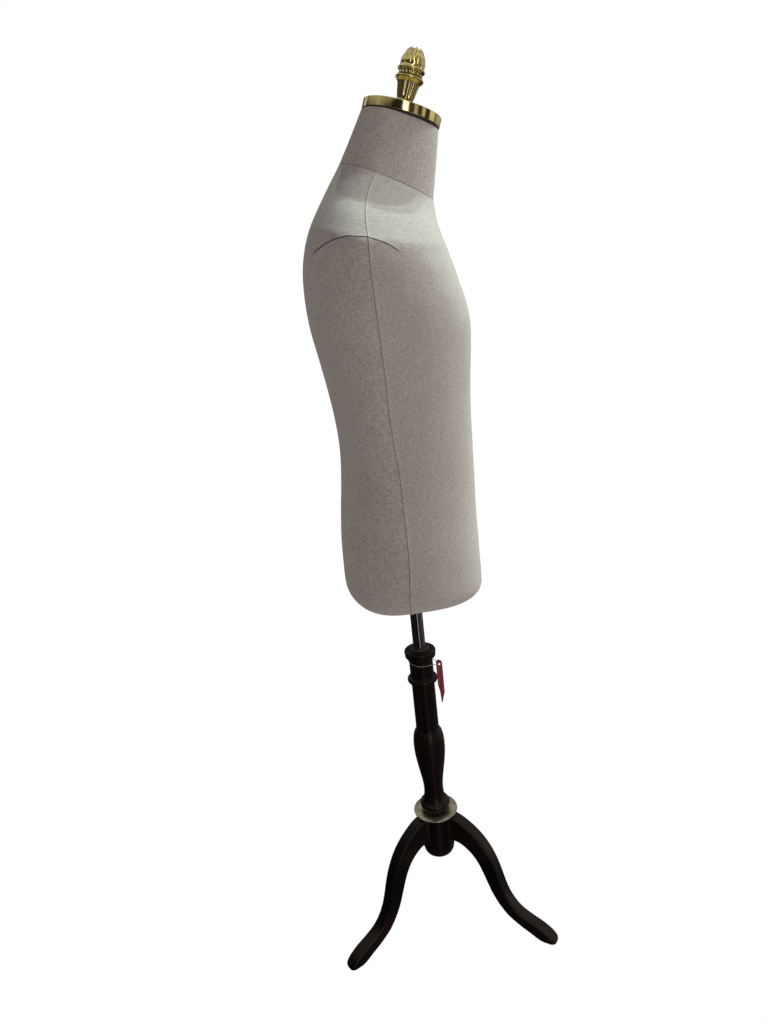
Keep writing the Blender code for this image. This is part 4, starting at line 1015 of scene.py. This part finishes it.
def build_tag():
    half = TAG_WIDTH / 2
    top = 0.0018 + TAG_HOLE * 2 + 0.0012
    outline = arc((0, top - half), half, 0, 180, 28)
    left = ((-1, 0.02), (-1, 0.046), (-0.92, 0.054), (-0.55, 0.064), (-0.38, 0.076), (-0.3, TAG_LENGTH))
    right = ((0.06, TAG_LENGTH), (0.45, 0.077), (0.97, 0.066), (1, 0.052), (1, 0.02))
    for edge in (left, right):
        outline += smooth_line([(half * share, top - drop) for share, drop in edge], 5)
    builder = bmesh.new()
    face = builder.faces.new([builder.verts.new((x, -TAG_THICKNESS / 2, z)) for x, z in outline])
    pushed = bmesh.ops.extrude_face_region(builder, geom=[face])
    moved = [item for item in pushed["geom"] if isinstance(item, bmesh.types.BMVert)]
    bmesh.ops.translate(builder, verts=moved, vec=(0, TAG_THICKNESS, 0))
    rims = [edge for edge in builder.edges if abs(edge.calc_face_angle(0)) > 1.2]
    bmesh.ops.bevel(builder, geom=rims, offset=0.00022, segments=2, affect="EDGES")
    bmesh.ops.recalc_face_normals(builder, faces=builder.faces)
    mesh = bpy.data.meshes.new("punched_tag")
    builder.to_mesh(mesh)
    builder.free()
    place = turn_z(TAG_ANGLE) @ Matrix.Translation((TAG_REACH, 0, TAG_PIVOT_HEIGHT))
    tag = settle("punched_tag", mesh, "tag", "red_card", ("swing_tag",), place, 40)
    drop = TAG_HOLE - LOOP_RADIUS - GAP
    lay = place @ Matrix.Translation((0, 0, -drop)) @ Matrix.Rotation(math.radians(90), 4, "X")
    drilled(tag, TAG_HOLE, -0.003, 0.003, lay, 40)


def build_loop():
    """The clear nylon loop, drawn tight round the column's neck and out to the tag."""
    hug, tip = NECK_RADIUS + LOOP_RADIUS + GAP, 0.0012
    opening = math.degrees(math.acos((hug - tip) / TAG_REACH))
    around = arc((0, 0), hug, opening, 360 - opening, 90)
    end = arc((TAG_REACH - tip, 0), tip, -opening, opening, 12)
    line = [Vector((x, y, LOOP_RISE * (TAG_REACH - x))) for x, y in around + end]
    points, sides, count = [], 12, len(line)
    for index, point in enumerate(line):
        ahead = (line[(index + 1) % count] - line[index - 1]).normalized()
        side = ahead.cross(Vector((0, 0, 1))).normalized()
        up = side.cross(ahead)
        for angle in whole_turn(sides):
            points.append(point + side * math.cos(angle) * LOOP_RADIUS + up * math.sin(angle) * LOOP_RADIUS)
    mesh = mesh_from("nylon_loop", points, tube_faces(count, sides, looped=True))
    place = turn_z(TAG_ANGLE) @ Matrix.Translation((0, 0, TAG_PIVOT_HEIGHT))
    settle("nylon_loop", mesh, "stand", "clear_plastic", ("tag_loop",), place, 80)


# ---------------------------------------------------------------- studio
def aim(thing, place, target):
    thing.location = place
    thing.rotation_euler = (Vector(target) - Vector(place)).to_track_quat("-Z", "Y").to_euler()


def add_area(name, place, target, size, power, tint):
    """A lamp that lights the dress form but isn't seen in its polished parts, which mirror ROOM."""
    data = bpy.data.lights.new(name, "AREA")
    data.shape, data.size, data.size_y, data.energy, data.color = "RECTANGLE", *size, power, tint
    light = bpy.data.objects.new(name, data)
    light.visible_glossy = False
    bpy.context.collection.objects.link(light)
    aim(light, place, target)


# what polished parts mirror, round the horizon from -X by way of the front: (share of a turn, brightness)
ROOM = (
    (0.000, 0.04), (0.008, 3.20), (0.036, 3.20), (0.044, 0.03), (0.085, 0.03), (0.092, 0.50), (0.112, 0.50),
    (0.120, 0.05), (0.150, 0.05), (0.158, 0.75), (0.178, 0.75), (0.186, 0.04), (0.225, 0.05), (0.235, 1.00),
    (0.285, 0.90), (0.295, 0.12), (0.330, 0.55), (0.420, 0.40), (0.430, 0.06), (0.560, 0.05), (0.570, 0.60),
    (0.610, 0.60), (0.620, 0.04), (0.760, 0.03), (0.775, 0.22), (0.800, 0.03), (0.900, 0.10), (0.920, 0.02))


def build_world():
    """White backdrop and soft fill; polished parts mirror a dim room with tall bright windows."""
    world = bpy.data.worlds.new("studio")
    bpy.context.scene.world = world
    world.use_nodes = True
    tree = world.node_tree
    background = tree.nodes["Background"]
    way = node(tree, "ShaderNodeTexCoord").outputs["Generated"]
    turn = node(tree, "ShaderNodeTexGradient", {"Vector": way}, gradient_type="RADIAL").outputs["Fac"]
    walls = ramp(tree, turn, *((place, (tone, tone * 0.92, tone * 0.88)) for place, tone in ROOM))
    height = node(tree, "ShaderNodeSeparateXYZ", {0: way}).outputs[2]
    level = maths(tree, "MULTIPLY_ADD", height, 0.5, 0.5)   # 0 straight down, 1 straight up
    walls = mixed(tree, 1.0, walls, ramp(tree, level, (0.28, 0.14), (0.48, 1.0)), "MULTIPLY")
    overhead = ramp(tree, height, (0.45, 0.0), (0.62, 0.55), (0.9, 0.55), (1.0, 0.3))
    mirrored = mixed(tree, overhead, walls, (1.0, 0.98, 0.93))
    around = ramp(tree, turn, (0.0, (0.72, 0.64, 0.65)), (0.125, (0.98, 0.92, 0.92)),
                  (0.25, (1.12, 1.09, 1.07)), (0.5, (0.75, 0.74, 0.72)), (0.75, (0.42, 0.39, 0.38)),
                  (0.875, (0.53, 0.48, 0.47)), (1.0, (0.72, 0.64, 0.65)))
    upward = ramp(tree, level, (0.0, 0.6), (0.4, 1.0), (0.55, 1.15), (0.78, 0.55), (1.0, 0.25))
    fill = mixed(tree, 1.0, around, upward, "MULTIPLY")
    ray = node(tree, "ShaderNodeLightPath")
    light = mixed(tree, ray.outputs["Is Glossy Ray"], fill, mirrored)
    colour = mixed(tree, ray.outputs["Is Camera Ray"], light, (1.0, 1.0, 1.0))
    tree.links.new(colour, background.inputs["Color"])
    background.inputs["Strength"].default_value = 1.0


def build_camera():
    """The photo's camera: level with the chest, tipped down and rolled a little."""
    turn, pitch, roll, yaw = (math.radians(angle) for angle in (-5, 17.32, -6.25, -1.7))
    right_way = Vector((math.sin(turn), -math.cos(turn), 0))
    away = Vector((math.cos(turn), math.sin(turn), 0))
    up = Vector((0, 0, 1))
    ahead = (right_way * math.sin(yaw) + away * math.cos(yaw)) * math.cos(pitch) - up * math.sin(pitch)
    level = right_way * math.cos(yaw) - away * math.sin(yaw)
    top = level.cross(ahead)
    x_axis = level * math.cos(roll) + top * math.sin(roll)
    y_axis = top * math.cos(roll) - level * math.sin(roll)
    data = bpy.data.cameras.new("camera")
    data.sensor_width, data.lens = 36, 27.0703
    camera = bpy.data.objects.new("camera", data)
    bpy.context.collection.objects.link(camera)
    place = Matrix((x_axis, y_axis, -ahead)).transposed().to_4x4()
    camera.matrix_world = Matrix.Translation(away * -1.25 + up * 1.244) @ place
    bpy.context.scene.camera = camera


build_camera()
build_world()
add_area("key_high", (1.42, -1.19, 4.01), (-0.11, 0, 1.34), (0.09, 0.09), 66, (0.86, 1.0, 0.98))
add_area("key_low", (1.28, -1.45, 3.96), (-0.11, 0, 1.34), (0.09, 0.09), 60, (0.86, 1.0, 0.98))
add_area("key_front", (0.19, -2.24, 3.35), (0, -0.05, 1.3), (0.5, 0.5), 52, (0.88, 1.0, 0.98))
add_area("fill_front", (1.1, -2.45, 2.1), (0, 0, 1.15), (0.8, 1.2), 14, (0.92, 1.0, 0.98))
bpy.context.scene.view_settings.view_transform = "Standard"

build_covers()
build_neck_linen()
build_torso_core()
build_base_linen()
build_neck_cap()
build_pole()
build_column()
build_hub()
build_ring()
for number, angle in enumerate(LEG_ANGLES, 1):
    build_leg(number, angle)
build_clamp()
build_tag()
build_loop()

bpy.context.view_layer.update()
